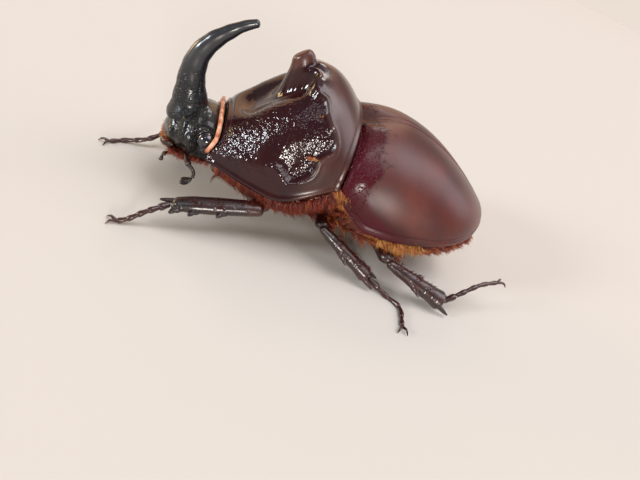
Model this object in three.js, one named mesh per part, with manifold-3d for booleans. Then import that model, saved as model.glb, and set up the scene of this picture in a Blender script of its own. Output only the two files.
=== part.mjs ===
// European rhinoceros beetle, major male, life size, standing with one hind tarsus lifted.
// Millimetres. +Z up, head towards -X, the beetle's left side towards -Y, floor at z = 0.
import * as THREE from "three";
import { mergeVertices } from "three/addons/utils/BufferGeometryUtils.js";
import Module from "manifold-3d";

const wasm = await Module();
wasm.setup();

// ---------------------------------------------------------------- driving dimensions
const GAP = 0.2; // clearance between neighbouring plates
const FLOOR = 0;

const PRONOTUM = {
  frontX: -13.8, // front margin on the midline
  baseX: 0, // hind margin on the midline
  cornersAhead: 1.1, // how far the front corners reach ahead of the middle
  baseBow: 1.0, // how far the hind angles lie ahead of the middle
  frontHalf: 5.4,
  widestHalf: 9.5,
  widestAt: 0.7,
  hindNarrowing: 1.1,
  marginZ: 7.1,
  hindRise: 2.7,
  frontZ: 10.7,
  crownZ: 18.45,
  crownAt: 0.66,
  baseDrop: 2.6,
  edge: 0.5, // thickness of the side margin
};

// The crest that closes the front hollow: its place along the body, at each millimetre off the midline.
const CREST_X = [-8.3, -7.6, -6.3, -5.5, -5.5, -5.3, -4.6, -3.4, -3.3, -5.2];
const HOLLOW = {
  deep: 2.6, // below the shell's dome, on the midline
  shallow: 0.6, // and out by the side margins
  deepTo: 2.5, // how far off the midline the deep part reaches
  shallowFrom: 6.5,
  wall: 1.5, // length of the slope below the crest, on the midline
  sideWall: 0.8,
  floorX: -11.2, // behind this the hollow has its full depth
  sideFade: [0.2, 2.2], // distances from the side margin over which it fades
};
// Swellings and pits of the pronotum, with their radii along and across the body.
const MIDDLE_TOOTH = { x: -7.4, y: 0, long: 1.35, wide: 1.15, height: 1.35 };
const SIDE_TOOTH = { x: -4.6, y: 3.2, long: 1.6, wide: 1.5, height: 0.45 };
const SIDE_PIT = { x: -5.9, y: 8.0, long: 2.0, wide: 1.1, height: -0.5 };
const COLLAR = { lead: 0.55, radius: 0.33 };

const ELYTRA = {
  baseX: 0.2,
  apexX: 20.15,
  baseBow: 0.9,
  shoulderHalf: 8.7,
  widestHalf: 10.2,
  widestX: 7,
  apexHalf: 0.6,
  shoulderZ: 8.9,
  lowestZ: 6.65, // of the side margin, behind the shoulder
  tailRise: 1.95, // of the side margin, from there to the apex
  crownZ: 15.95,
  crownX: 5,
  apexDrop: 6.85, // from the crown to the apex
  baseDrop: 0.9, // from the crown to the base
  sutureDip: 0.3,
  edge: 0.45,
};

const SHOULDER = { x: 2.6, y: 7.0, long: 1.8, wide: 1.5, height: 0.3 };
const SCUTELLUM = { length: 2.7, half: 2.1, thickness: 1.2, sunk: 0.05 };

const TRUNK = {
  waistX: -1.3, // hind end of the prosternum
  hipsX: 9.4, // hind end of the sternum
  tailX: 18.8,
  bellyZ: 3.0,
  edge: 0.5, // thickness of the flanks
};
const RINGS = { step: 1.9, depth: 0.12 }; // the abdomen's ventral rings
const PYGIDIUM = { centre: [17.5, 0, 6.6], radii: [2.1, 5.6, 2.3] };

const HEAD = { tipX: -19.6, neckX: -13.6, widestShare: 0.42 };
const EYE = { x: -15.1, y: 3.85, z: 8.2, radius: 0.98, flatness: 0.85 };
const SOLE = 0.24; // height of a standing foot's middle line

// ---------------------------------------------------------------- small maths
const clamp = (value, low = 0, high = 1) => Math.min(high, Math.max(low, value));
const mix = (a, b, t) => a + (b - a) * t;
function smooth(from, to, value) {
  const t = clamp((value - from) / (to - from));
  return t * t * (3 - 2 * t);
}
// A round-topped bump, gone by its rim.
function bump(at, x, y) {
  const off = ((x - at.x) / at.long) ** 2 + ((y - at.y) / at.wide) ** 2;
  return at.height * (1 - smooth(0.2, 1, off));
}
// A rise from 0 to 1 that levels off.
const quarter = (t) => Math.sin((Math.PI / 2) * clamp(t));
// A round section made a little squarer.
const squarer = (value) => Math.sign(value) * Math.abs(value) ** 0.85;
// Half thickness of a limb that starts and ends rounded, `round` being the share of its length.
function roundEnds(t, round) {
  const inset = Math.max(0, round - t, t - (1 - round)) / round;
  return Math.sqrt(1 - 0.84 * inset * inset);
}
// A value that follows evenly spaced stations along a limb.
function along(values) {
  return (t) => {
    const place = clamp(t) * (values.length - 1);
    const i = Math.min(values.length - 2, Math.floor(place));
    return mix(values[i], values[i + 1], smooth(0, 1, place - i));
  };
}

const vec = (p) => new THREE.Vector3(...p);
const between = (a, b, t) => vec(a).lerp(vec(b), t).toArray();

// ---------------------------------------------------------------- solids
function warp(geometry, shape) {
  const position = geometry.attributes.position;
  const point = new THREE.Vector3();
  for (let i = 0; i < position.count; i++) {
    point.fromBufferAttribute(position, i);
    const moved = shape(point.x, point.y, point.z);
    position.setXYZ(i, moved.x, moved.y, moved.z);
  }
  return geometry;
}

function solidOf(geometry) {
  geometry.deleteAttribute("normal");
  geometry.deleteAttribute("uv");
  const merged = mergeVertices(geometry, 1e-4);
  const vertProperties = merged.attributes.position.array;
  const corners = merged.index.array;
  const kept = [];
  for (let i = 0; i < corners.length; i += 3) {
    const [a, b, c] = corners.slice(i, i + 3);
    if (a !== b && b !== c && c !== a) kept.push(a, b, c);
  }
  const triVerts = new Uint32Array(kept);
  const made = new wasm.Manifold(new wasm.Mesh({ numProp: 3, vertProperties, triVerts }));
  if (made.volume() > 0) return made;
  for (let i = 0; i < triVerts.length; i += 3) {
    [triVerts[i + 1], triVerts[i + 2]] = [triVerts[i + 2], triVerts[i + 1]];
  }
  return new wasm.Manifold(new wasm.Mesh({ numProp: 3, vertProperties, triVerts }));
}

function geometryOf(solid) {
  const mesh = solid.getMesh();
  return new THREE.BufferGeometry()
    .setAttribute("position", new THREE.BufferAttribute(mesh.vertProperties, 3))
    .setIndex(new THREE.BufferAttribute(mesh.triVerts, 1));
}

// The largest body of a cut solid, without the crumbs that a cut leaves.
function largest(solid) {
  return solid.decompose().reduce((a, b) => (b.volume() > a.volume() ? b : a));
}

// A plate from a box of cells: u runs 0 to 1 along the body, v -1 to 1 across it. The `plain` face needs
// no relief, so the inner corners of each of its rows are drawn together on the middle line.
function plate(cellsAlong, cellsAcross, top, bottom, plain = bottom) {
  const box = new THREE.BoxGeometry(1, 1, 1, cellsAlong, cellsAcross, 1);
  return solidOf(
    warp(box, (x, y, z) => {
      const face = z > 0 ? top : bottom;
      const inner = face === plain && Math.abs(x) < 0.499 && Math.abs(y) < 0.499;
      return face(x + 0.5, inner ? 0 : 2 * y);
    }),
  );
}

function ellipsoid(centre, radii, grow = 0, around = 10, down = 6) {
  const ball = new THREE.SphereGeometry(1, around, down);
  return solidOf(
    warp(ball, (x, y, z) =>
      new THREE.Vector3(x * (radii[0] + grow), y * (radii[1] + grow), z * (radii[2] + grow)).add(centre),
    ),
  );
}

// A limb: a closed tube along a smooth line through `points`. wide() is its half width towards `flat`,
// thick() its half thickness across that, and `round` the share of its length that each end is rounded over.
function limb(shape, grow = 0) {
  const { points, wide, thick = wide, flat = [0, 0, 1], around = 7, steps = 8, round = 0.12 } = shape;
  const line = new THREE.CatmullRomCurve3(points.map(vec));
  const tube = new THREE.CylinderGeometry(1, 1, 1, around, steps);
  const towards = vec(flat);
  return solidOf(
    warp(tube, (x, y, z) => {
      const t = 0.5 - 0.5 * Math.cos(Math.PI * (y + 0.5)); // closer rings near the rounded ends
      const run = line.getTangentAt(t);
      const side = towards.clone().addScaledVector(run, -towards.dot(run)).normalize();
      const across = new THREE.Vector3().crossVectors(run, side);
      const ends = grow * (t < 0.01 ? -1 : t > 0.99 ? 1 : 0);
      const fill = roundEnds(t, round);
      return line
        .getPointAt(t)
        .addScaledVector(run, ends)
        .addScaledVector(side, x * (wide(t) * fill + grow))
        .addScaledVector(across, z * (thick(t) * fill + grow));
    }),
  );
}

// A short pointed limb, such as a tooth or a spur.
function spike(from, to, radius, grow = 0) {
  const taper = (t) => radius * mix(1, 0.35, t);
  return limb({ points: [from, to], wide: taper, around: 5, steps: 1, round: 0.02 }, grow);
}

// ---------------------------------------------------------------- pronotum
function pronotumHalf(u) {
  const { frontHalf, widestHalf, widestAt, hindNarrowing } = PRONOTUM;
  const past = clamp((u - widestAt) / (1 - widestAt));
  return frontHalf + (widestHalf - frontHalf) * quarter(u / widestAt) ** 1.1 - hindNarrowing * past ** 2;
}
const pronotumMargin = (u) => PRONOTUM.marginZ + PRONOTUM.hindRise * smooth(0.5, 1, u);

function pronotumCrown(u) {
  const { frontZ, crownZ, crownAt, baseDrop } = PRONOTUM;
  const past = clamp((u - crownAt) / (1 - crownAt));
  return frontZ + (crownZ - frontZ) * quarter(u / crownAt) ** 0.9 - baseDrop * past ** 1.8;
}

// The hollow in front of the crest, the crest's three blunt teeth, and a pit at each side.
const crestX = along(CREST_X);
function pronotumRelief(x, y, half) {
  const off = Math.abs(y);
  const outwards = smooth(HOLLOW.deepTo, HOLLOW.shallowFrom, off);
  const depth = mix(HOLLOW.deep, HOLLOW.shallow, outwards);
  const wall = mix(HOLLOW.wall, HOLLOW.sideWall, outwards);
  const ahead = smooth(0, wall, crestX(off / (CREST_X.length - 1)) - x);
  const behindFront = smooth(PRONOTUM.frontX, HOLLOW.floorX, x);
  const hollow = depth * ahead * behindFront * smooth(...HOLLOW.sideFade, half - off);
  return bump(MIDDLE_TOOTH, x, y) + bump(SIDE_TOOTH, x, off) + bump(SIDE_PIT, x, off) - hollow;
}

function pronotumPlace(u, v, grow) {
  const { frontX, baseX, cornersAhead, baseBow } = PRONOTUM;
  const across = 0.5 * v + 0.5 * Math.sin((Math.PI / 2) * v); // finer cells towards the side margins
  const share = u + 0.08 * Math.sin(2 * Math.PI * u); // and about the crest
  const front = frontX - grow - cornersAhead * across ** 4;
  const back = baseX + grow - baseBow * across ** 2;
  return { x: mix(front, back, share), y: across * (pronotumHalf(share) + grow), across, share };
}

// The dome's cross-section: 1 on the midline, 0 at the side margins.
const domeAt = (across) => (1 - Math.abs(across) ** 2.2) ** 0.62;

function pronotum(grow = 0) {
  return plate(
    19,
    22,
    (u, v) => {
      const { x, y, across, share } = pronotumPlace(u, v, grow);
      const relief = pronotumRelief(x, y, pronotumHalf(share));
      const dome = mix(pronotumMargin(share), pronotumCrown(share), domeAt(across));
      return new THREE.Vector3(x, y, dome + relief + grow);
    },
    (u, v) => {
      const { x, y, share } = pronotumPlace(u, v, grow);
      return new THREE.Vector3(x, y, pronotumMargin(share) - PRONOTUM.edge - grow);
    },
  );
}

// The soft pale rim between the pronotum's front margin and the head.
function collar(grow = 0) {
  const reach = [-0.96, -0.7, -0.4, 0, 0.4, 0.7, 0.96];
  const points = reach.map((a) => {
    const z = mix(PRONOTUM.marginZ, PRONOTUM.frontZ, domeAt(a)) - 0.1;
    return [PRONOTUM.frontX - COLLAR.lead - PRONOTUM.cornersAhead * a ** 4, a * PRONOTUM.frontHalf, z];
  });
  const wide = () => COLLAR.radius;
  return limb({ points, wide, flat: [1, 0, 0], around: 5, steps: 12, round: 0.03 }, grow);
}

// ---------------------------------------------------------------- elytra and scutellum
function elytraHalf(x) {
  const { baseX, shoulderHalf, widestHalf, widestX, apexX, apexHalf } = ELYTRA;
  if (x < widestX) return mix(shoulderHalf, widestHalf, quarter((x - baseX + 1) / (widestX - baseX + 1)));
  const past = clamp((x - widestX) / (apexX - widestX));
  return apexHalf + (widestHalf - apexHalf) * (1 - past ** 3.2) ** 0.75;
}
const elytraMargin = (x) =>
  mix(ELYTRA.shoulderZ, ELYTRA.lowestZ, smooth(-1, 3.5, x)) + ELYTRA.tailRise * smooth(5, 20, x);

function elytraTop(x, y) {
  const { crownX, crownZ, apexX, baseX, apexDrop, baseDrop, sutureDip } = ELYTRA;
  const behind = clamp((x - crownX) / (apexX - crownX));
  const before = clamp((crownX - x) / (crownX - baseX));
  const crown = crownZ - apexDrop * behind ** 1.8 - baseDrop * before ** 2;
  const across = clamp(Math.abs(y) / elytraHalf(x), 0, 1);
  const dip = sutureDip * Math.exp(-((y / 0.9) ** 2));
  const dome = mix(elytraMargin(x), crown - dip, Math.sqrt(1 - across ** 2.15));
  return dome + bump(SHOULDER, x, Math.abs(y));
}

function elytron(side, grow = 0) {
  const place = (u, v) => {
    const turn = (Math.PI / 4) * (v + 1); // 0 at the suture, a quarter turn at the side margin
    const base = ELYTRA.baseX - grow - ELYTRA.baseBow * Math.sin(turn) ** 2;
    const x = mix(base, ELYTRA.apexX + grow, Math.sin((Math.PI / 2) * u));
    const y = mix(GAP / 2 - grow, elytraHalf(x) + grow, Math.sin(turn));
    return { x, y };
  };
  return plate(
    12,
    8,
    (u, v) => {
      const { x, y } = place(u, v);
      return new THREE.Vector3(x, side * y, elytraTop(x, y) + grow);
    },
    (u, v) => {
      const { x, y } = place(u, v);
      return new THREE.Vector3(x, side * y, elytraMargin(x) - ELYTRA.edge - grow);
    },
  );
}

function scutellum(grow = 0) {
  const { length, half, thickness, sunk } = SCUTELLUM;
  const place = (u, v) => {
    const x = mix(ELYTRA.baseX - grow, ELYTRA.baseX + length + grow, u);
    return { x, y: v * (half * Math.sqrt(1 - 0.93 * u * u) + grow) };
  };
  return plate(
    5,
    6,
    (u, v) => {
      const { x, y } = place(u, v);
      return new THREE.Vector3(x, y, elytraTop(x, y) - sunk + grow * 4);
    },
    (u, v) => {
      const { x, y } = place(u, v);
      return new THREE.Vector3(x, y, elytraTop(x, y) - thickness - grow);
    },
  );
}

// ---------------------------------------------------------------- underside
// A keel-bellied block whose flat top lies just under the plates above it.
function underside({ from, to, halfAt, topAt, bellyAt, cells }, grow = 0) {
  const place = (u, v) => {
    const x = mix(from - grow, to + grow, u);
    const across = Math.sin((Math.PI / 2) * v);
    return { x, across, y: across * (halfAt(x) + grow) };
  };
  const top = (u, v) => {
    const { x, y } = place(u, v);
    return new THREE.Vector3(x, y, topAt(x) + grow);
  };
  const belly = (u, v) => {
    const { x, y, across } = place(u, v);
    const keel = 1 - Math.abs(across) ** 1.4;
    const depth = mix(TRUNK.edge, topAt(x) - bellyAt(x), keel);
    return new THREE.Vector3(x, y, topAt(x) - depth - grow);
  };
  return plate(cells[0], cells[1], top, belly, top);
}

const pronotumShare = (x) => clamp((x - PRONOTUM.frontX) / (PRONOTUM.baseX - PRONOTUM.frontX));
const prosternum = (grow = 0) =>
  underside(
    {
      from: PRONOTUM.frontX + 0.2,
      to: TRUNK.waistX,
      halfAt: (x) => pronotumHalf(pronotumShare(x)) - 0.5,
      topAt: (x) => pronotumMargin(pronotumShare(x)) - PRONOTUM.edge - GAP,
      bellyAt: (x) => TRUNK.bellyZ + mix(1.1, 0.3, smooth(-14, -9, x)),
      cells: [5, 8],
    },
    grow,
  );
const sternum = (grow = 0) =>
  underside(
    {
      from: TRUNK.waistX + GAP,
      to: TRUNK.hipsX,
      halfAt: (x) => elytraHalf(x) - 0.7,
      topAt: (x) => elytraMargin(x) - ELYTRA.edge - GAP,
      bellyAt: (x) => TRUNK.bellyZ + mix(0.4, 0, smooth(-1, 3, x)),
      cells: [5, 8],
    },
    grow,
  );
// The abdomen's visible ventral rings show as shallow steps.
const ringStep = (x) => RINGS.depth * Math.cos((2 * Math.PI * (x - TRUNK.hipsX - GAP)) / RINGS.step);
const abdomen = (grow = 0) =>
  underside(
    {
      from: TRUNK.hipsX + GAP,
      to: TRUNK.tailX,
      halfAt: (x) => elytraHalf(x) - 0.55,
      topAt: (x) => elytraMargin(x) - ELYTRA.edge - GAP,
      bellyAt: (x) => TRUNK.bellyZ + mix(0, 2.2, smooth(12, 20, x)) + ringStep(x),
      cells: [10, 6],
    },
    grow,
  );
// The last back plate of the abdomen, showing below the tips of the elytra.
function pygidium(grow = 0) {
  return ellipsoid(vec(PYGIDIUM.centre), PYGIDIUM.radii, grow, 12, 6);
}

// ---------------------------------------------------------------- head
// Half width, top and bottom of the head at even stations from the clypeus to the neck.
const headHalf = along([1.3, 2.4, 3.3, 4.1, 4.2, 3.6]);
const headTop = along([7.4, 8.9, 9.7, 10.1, 10.2, 9.9]);
const headBottom = along([6.0, 5.6, 5.2, 4.9, 4.8, 5.0]);

function head(grow = 0) {
  const tube = new THREE.CylinderGeometry(1, 1, 1, 16, 7);
  return solidOf(
    warp(tube, (x, y, z) => {
      const t = y + 0.5;
      const fill = roundEnds(t, 0.06);
      const top = headTop(t) + grow;
      const bottom = headBottom(t) - grow;
      const middle = mix(bottom, top, HEAD.widestShare);
      const height = x > 0 ? top - middle : middle - bottom;
      return new THREE.Vector3(
        mix(HEAD.tipX - grow, HEAD.neckX + grow, t),
        -squarer(z) * (headHalf(t) * fill + grow),
        middle + squarer(x) * height * fill,
      );
    }),
  );
}

const HORN = {
  points: [
    [-17.3, 0, 8.4],
    [-17.9, 0, 11.2],
    [-18.1, 0, 13.4],
    [-17.85, 0, 15.4],
    [-16.95, 0, 17.1],
    [-15.6, 0, 18.6],
    [-14.4, 0, 19.7],
    [-13.1, 0, 20.55],
  ],
  wide: along([2.35, 1.6, 1.27, 1.1, 0.92, 0.72, 0.52, 0.4]), // fore and aft
  thick: along([2.3, 1.5, 1.1, 0.92, 0.78, 0.64, 0.5, 0.42]), // side to side
  flat: [1, 0, 0.001],
  around: 10,
  steps: 11,
  round: 0.03,
};
const horn = (grow = 0) => limb(HORN, grow);

function eye(side, grow = 0) {
  const radii = [EYE.radius, EYE.radius * EYE.flatness, EYE.radius];
  return ellipsoid(new THREE.Vector3(EYE.x, side * EYE.y, EYE.z), radii, grow, 10, 7);
}

// Both antennae are folded back under the cheeks, the right one closer.
const ANTENNAE = {
  left: {
    stem: [
      [-16.7, -3.6, 5.7],
      [-16.1, -4.7, 5.3],
      [-15.4, -5.5, 5.0],
      [-15.3, -5.8, 4.6],
    ],
    club: [
      [-15.35, -5.85, 4.4],
      [-15.7, -6.0, 4.1],
      [-16.5, -6.2, 3.9],
    ],
  },
  right: {
    stem: [
      [-16.7, 3.6, 5.7],
      [-16.1, 4.4, 5.4],
      [-15.5, 4.9, 5.1],
      [-15.3, 5.1, 4.8],
    ],
    club: [
      [-15.3, 5.15, 4.55],
      [-15.7, 5.2, 4.25],
      [-16.6, 5.2, 4.1],
    ],
  },
};

function antennaStem({ stem: points }, grow = 0) {
  return limb({ points, wide: along([0.4, 0.36, 0.28, 0.28]), around: 6, steps: 6, round: 0.04 }, grow);
}
function antennaClub({ club: points }, grow = 0) {
  return limb({ points, wide: along([0.3, 0.52, 0.46]), around: 6, steps: 4, round: 0.3 }, grow);
}

// Mentum and maxillae, one block under the clypeus.
function mouthparts(grow = 0) {
  const points = [
    [-18.7, 0, 4.7],
    [-17.2, 0, 4.2],
    [-15.4, 0, 3.8],
  ];
  const wide = () => 0.75;
  const thick = along([1.1, 1.7, 1.5]);
  return limb({ points, wide, thick, around: 10, steps: 6, round: 0.2 }, grow);
}
function palp(side, grow = 0) {
  const points = [
    [-17.9, side * 1.5, 4.5],
    [-18.8, side * 2.1, 4.1],
    [-19.0, side * 2.3, 3.3],
  ];
  return limb({ points, wide: along([0.26, 0.28, 0.34]), around: 6, steps: 4, round: 0.1 }, grow);
}

// ---------------------------------------------------------------- legs
// Each leg's joints, from the body outwards. `foot` is the line of the tarsus, ending at the claws.
const LEGS = {
  left_fore: {
    coxa: [-8.9, -2.9, 4.0],
    knee: [-7.5, -8.5, 4.8],
    tip: [-16.7, -9.1, 2.9],
    foot: [
      [-17.2, -9.4, 2.7],
      [-19.0, -10.3, 1.9],
      [-20.5, -10.6, 0.7],
      [-21.4, -10.7, SOLE],
    ],
    kind: "fore",
  },
  left_middle: {
    coxa: [1.4, -2.8, 4.0],
    knee: [-1.0, -8.6, 4.7],
    tip: [5.9, -10.6, 1.2],
    foot: [
      [6.5, -10.6, 0.8],
      [8.5, -12.0, SOLE],
      [9.9, -13.4, SOLE],
      [9.6, -16.4, SOLE],
    ],
    kind: "middle",
  },
  left_hind: {
    coxa: [7.8, -2.7, 3.9],
    knee: [7.2, -10.7, 3.9],
    tip: [15.3, -11.8, 1.2],
    foot: [
      [16.0, -11.7, 1.3],
      [17.7, -10.9, 2.5],
      [20.0, -9.9, 3.6],
      [22.3, -9.2, 4.1],
    ],
    kind: "hind",
  },
  right_fore: {
    coxa: [-8.9, 2.9, 4.0],
    knee: [-9.4, 8.6, 4.8],
    tip: [-18.4, 6.9, 2.7],
    foot: [
      [-18.9, 6.4, 2.3],
      [-21.2, 5.2, 1.1],
      [-23.7, 4.9, SOLE],
      [-25.1, 3.8, SOLE],
    ],
    kind: "fore",
  },
  right_middle: {
    coxa: [1.4, 2.8, 4.0],
    knee: [0.4, 9.5, 5.0],
    tip: [5.6, 14.3, 1.3],
    foot: [
      [6.0, 14.7, 0.8],
      [8.2, 16.0, SOLE],
      [10.4, 16.9, SOLE],
      [12.6, 17.5, SOLE],
    ],
    kind: "middle",
  },
  right_hind: {
    coxa: [7.8, 2.7, 3.9],
    knee: [8.8, 10.4, 4.6],
    tip: [16.6, 13.0, 1.3],
    foot: [
      [17.3, 13.2, 0.8],
      [19.6, 13.9, SOLE],
      [22.0, 14.4, SOLE],
      [24.0, 14.6, SOLE],
    ],
    kind: "hind",
  },
};

// Half widths at even stations, the tibia's thickness as a share of its width, the places of its teeth
// as shares of its length, and the side of the tip that each spur stands on.
const LEG_KINDS = {
  fore: {
    femur: [0.85, 1.15, 0.95],
    tibia: [0.6, 0.9, 1.05, 1.0, 0.75],
    tibiaThick: 0.55,
    teeth: [0.46, 0.79, 0.96],
    toothLength: 1.0,
    spurs: [-0.6],
  },
  middle: {
    femur: [0.85, 1.15, 0.85],
    tibia: [0.5, 0.7, 0.8, 0.85, 1.05],
    tibiaThick: 0.85,
    teeth: [0.52],
    toothLength: 0.75,
    spurs: [0.85, -0.85],
  },
  hind: {
    femur: [1.0, 1.4, 1.0],
    tibia: [0.55, 0.75, 0.9, 1.05, 1.3],
    tibiaThick: 0.85,
    teeth: [0.52],
    toothLength: 0.75,
    spurs: [0.85, -0.85],
  },
};
const COXA_RADII = [1.5, 2.2, 1.25];
const FEMUR_THICK = 0.72; // share of its width
const TOOTH_RADIUS = 0.72;
const SPUR = { length: 1.25, rooted: 0.5, radius: 0.42 };
const TARSUS = { joints: 5, near: 0.36, far: 0.29 };
const CLAW = { length: 1.15, spread: 0.6, arch: 0.2, lowest: 0.2 };

function coxa({ coxa: centre }, grow = 0) {
  return ellipsoid(vec(centre), COXA_RADII, grow, 8, 4);
}

function femur({ coxa: from, knee, kind }, grow = 0) {
  const points = [between(from, knee, 0.12), between(from, knee, 0.55), knee];
  const wide = along(LEG_KINDS[kind].femur);
  const thick = (t) => wide(t) * FEMUR_THICK;
  return limb({ points, wide, thick, flat: [1, 0, 0.3], steps: 6, round: 0.16 }, grow);
}

// The tibia widens towards its tip, is edged with teeth, and carries spurs at the tip.
function tibia({ knee, tip, kind }, grow = 0) {
  const { tibia: widths, tibiaThick, teeth, toothLength, spurs } = LEG_KINDS[kind];
  const side = Math.sign(knee[1]);
  const flat = kind === "fore" ? [-0.2, side, -0.35] : [0.25, side, -0.5];
  const run = vec(tip).sub(vec(knee)).normalize();
  const edge = vec(flat).addScaledVector(run, -vec(flat).dot(run)).normalize();
  const wide = along(widths);
  const thick = (t) => wide(t) * tibiaThick;
  const points = [knee, between(knee, tip, 0.5), tip];
  let made = limb({ points, wide, thick, flat, around: 6, steps: 5, round: 0.07 }, grow);
  for (const at of teeth) {
    const root = vec(between(knee, tip, at)).addScaledVector(edge, wide(at) * 0.5);
    const rise = wide(at) * 0.5 + toothLength * 0.75;
    const point = root.clone().addScaledVector(edge, rise).addScaledVector(run, toothLength);
    made = made.add(spike(root.toArray(), point.toArray(), TOOTH_RADIUS, grow));
  }
  for (const spurSide of spurs) {
    const offset = spurSide * wide(1);
    const root = vec(tip).addScaledVector(edge, offset * 0.7);
    const point = root.clone().addScaledVector(edge, offset * 0.35).addScaledVector(run, SPUR.length);
    point.z = Math.max(point.z, FLOOR);
    root.addScaledVector(run, -SPUR.rooted);
    made = made.add(spike(root.toArray(), point.toArray(), SPUR.radius, grow));
  }
  return made;
}

// Five joints in a row, each a little wider at its far end.
function tarsus({ foot }, grow = 0) {
  const wide = (t) => mix(TARSUS.near, TARSUS.far, t) * (0.84 + 0.3 * ((clamp(t) * TARSUS.joints) % 1));
  return limb({ points: foot, wide, around: 6, steps: 11, round: 0.03 }, grow);
}

function claws({ foot }, grow = 0) {
  const end = vec(foot.at(-1));
  const run = end.clone().sub(vec(foot.at(-2))).normalize();
  const across = new THREE.Vector3(-run.y, run.x, 0).normalize();
  const droop = end.z > 1 ? 0.25 : 0; // of a lifted foot's claws
  const hook = (way) => {
    const at = (share) =>
      end
        .clone()
        .addScaledVector(run, CLAW.length * share)
        .addScaledVector(across, way * CLAW.spread * share);
    const middle = at(0.6);
    middle.z = end.z + CLAW.arch;
    const point = at(1);
    point.z = Math.max(CLAW.lowest, end.z - droop);
    const points = [at(0.05).toArray(), middle.toArray(), point.toArray()];
    return limb({ points, wide: along([0.3, 0.27, 0.25]), around: 5, steps: 2, round: 0.1 }, grow);
  };
  return hook(-1).add(hook(1));
}

// ---------------------------------------------------------------- assembly
const floorBlock = solidOf(new THREE.BoxGeometry(120, 120, 10).translate(0, 0, FLOOR - 5));
// What is left of a piece once its neighbours, each grown by the gap, are cut away.
const fitted = (piece, ...neighbours) =>
  largest(neighbours.reduce((left, make) => left.subtract(make(GAP)), piece));

const CHITIN = {
  black: { color: 0x17100f, roughness: 0.22, metalness: 0 },
  maroon: { color: 0x35130f, roughness: 0.2, metalness: 0 },
  brown: { color: 0x4a2415, roughness: 0.4, metalness: 0 },
  amber: { color: 0xa85a2c, roughness: 0.5, metalness: 0 },
  eye: { color: 0x120c0c, roughness: 0.1, metalness: 0 },
};

const beetle = new THREE.Group();
function add(name, solid, finish) {
  const mesh = new THREE.Mesh(geometryOf(solid), new THREE.MeshStandardMaterial(CHITIN[finish]));
  mesh.name = name;
  beetle.add(mesh);
}

const SIDES = { left: -1, right: 1 };
const coxae = Object.values(LEGS).map((leg) => (grow) => coxa(leg, grow));
const bothEyes = Object.values(SIDES).map((side) => (grow) => eye(side, grow));

add("pronotum", fitted(pronotum()), "maroon");
add("pronotum_rim", fitted(collar(), pronotum), "amber");
add("head", fitted(head(), pronotum, prosternum, collar, ...bothEyes), "black");
add("horn", fitted(horn(), head), "black");
add("mouthparts", fitted(mouthparts(), head, prosternum), "brown");
add("scutellum", fitted(scutellum()), "maroon");
for (const [name, side] of Object.entries(SIDES)) {
  add(`eye_${name}`, fitted(eye(side), pronotum, collar), "eye");
  const stem = (grow) => antennaStem(ANTENNAE[name], grow);
  add(`antenna_stem_${name}`, fitted(stem(), head), "black");
  add(`antenna_club_${name}`, fitted(antennaClub(ANTENNAE[name]), stem), "brown");
  add(`palp_${name}`, fitted(palp(side), mouthparts, head), "brown");
  add(`elytron_${name}`, fitted(elytron(side), scutellum), "maroon");
}
add("prosternum", fitted(prosternum(), ...coxae), "brown");
add("sternum", fitted(sternum(), ...coxae), "brown");
add("abdomen", fitted(abdomen(), pygidium, ...coxae), "brown");
const bothElytra = Object.values(SIDES).map((side) => (grow) => elytron(side, grow));
add("pygidium", fitted(pygidium(), ...bothElytra), "brown");

for (const [name, leg] of Object.entries(LEGS)) {
  const piece = (make) => (grow) => make(leg, grow);
  const trunk = [prosternum, sternum, abdomen, pronotum];
  add(`coxa_${name}`, coxa(leg), "brown");
  add(`femur_${name}`, fitted(femur(leg), piece(coxa), ...trunk), "maroon");
  add(`tibia_${name}`, fitted(tibia(leg).subtract(floorBlock), piece(femur), ...trunk), "black");
  add(`tarsus_${name}`, fitted(tarsus(leg).subtract(floorBlock), piece(tibia)), "black");
  add(`claws_${name}`, fitted(claws(leg).subtract(floorBlock), piece(tarsus)), "maroon");
}

// The origin is the middle of the footprint, on the floor.
const box = new THREE.Box3().setFromObject(beetle);
const middle = box.getCenter(new THREE.Vector3());
beetle.position.set(-middle.x, -middle.y, -box.min.z);

export default beetle;
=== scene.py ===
"""A life-size European rhinoceros beetle, a major male, standing as in a natural history museum's case.

The sections follow the body as it is put together: the plates of the underside, the pronotum, the wing
cases, the head with its horn, the legs, and then the bristles that grow from all of them. Shapes are drawn
in millimetres from the body's own datum, which is the midline at the pronotum's hind edge, on the floor.
+X runs from head to tail, the beetle's left side is towards -Y, and +Z is up.
"""

import math
from functools import partial

import bmesh
import bpy
import numpy as np
from mathutils import Matrix, Vector


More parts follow.
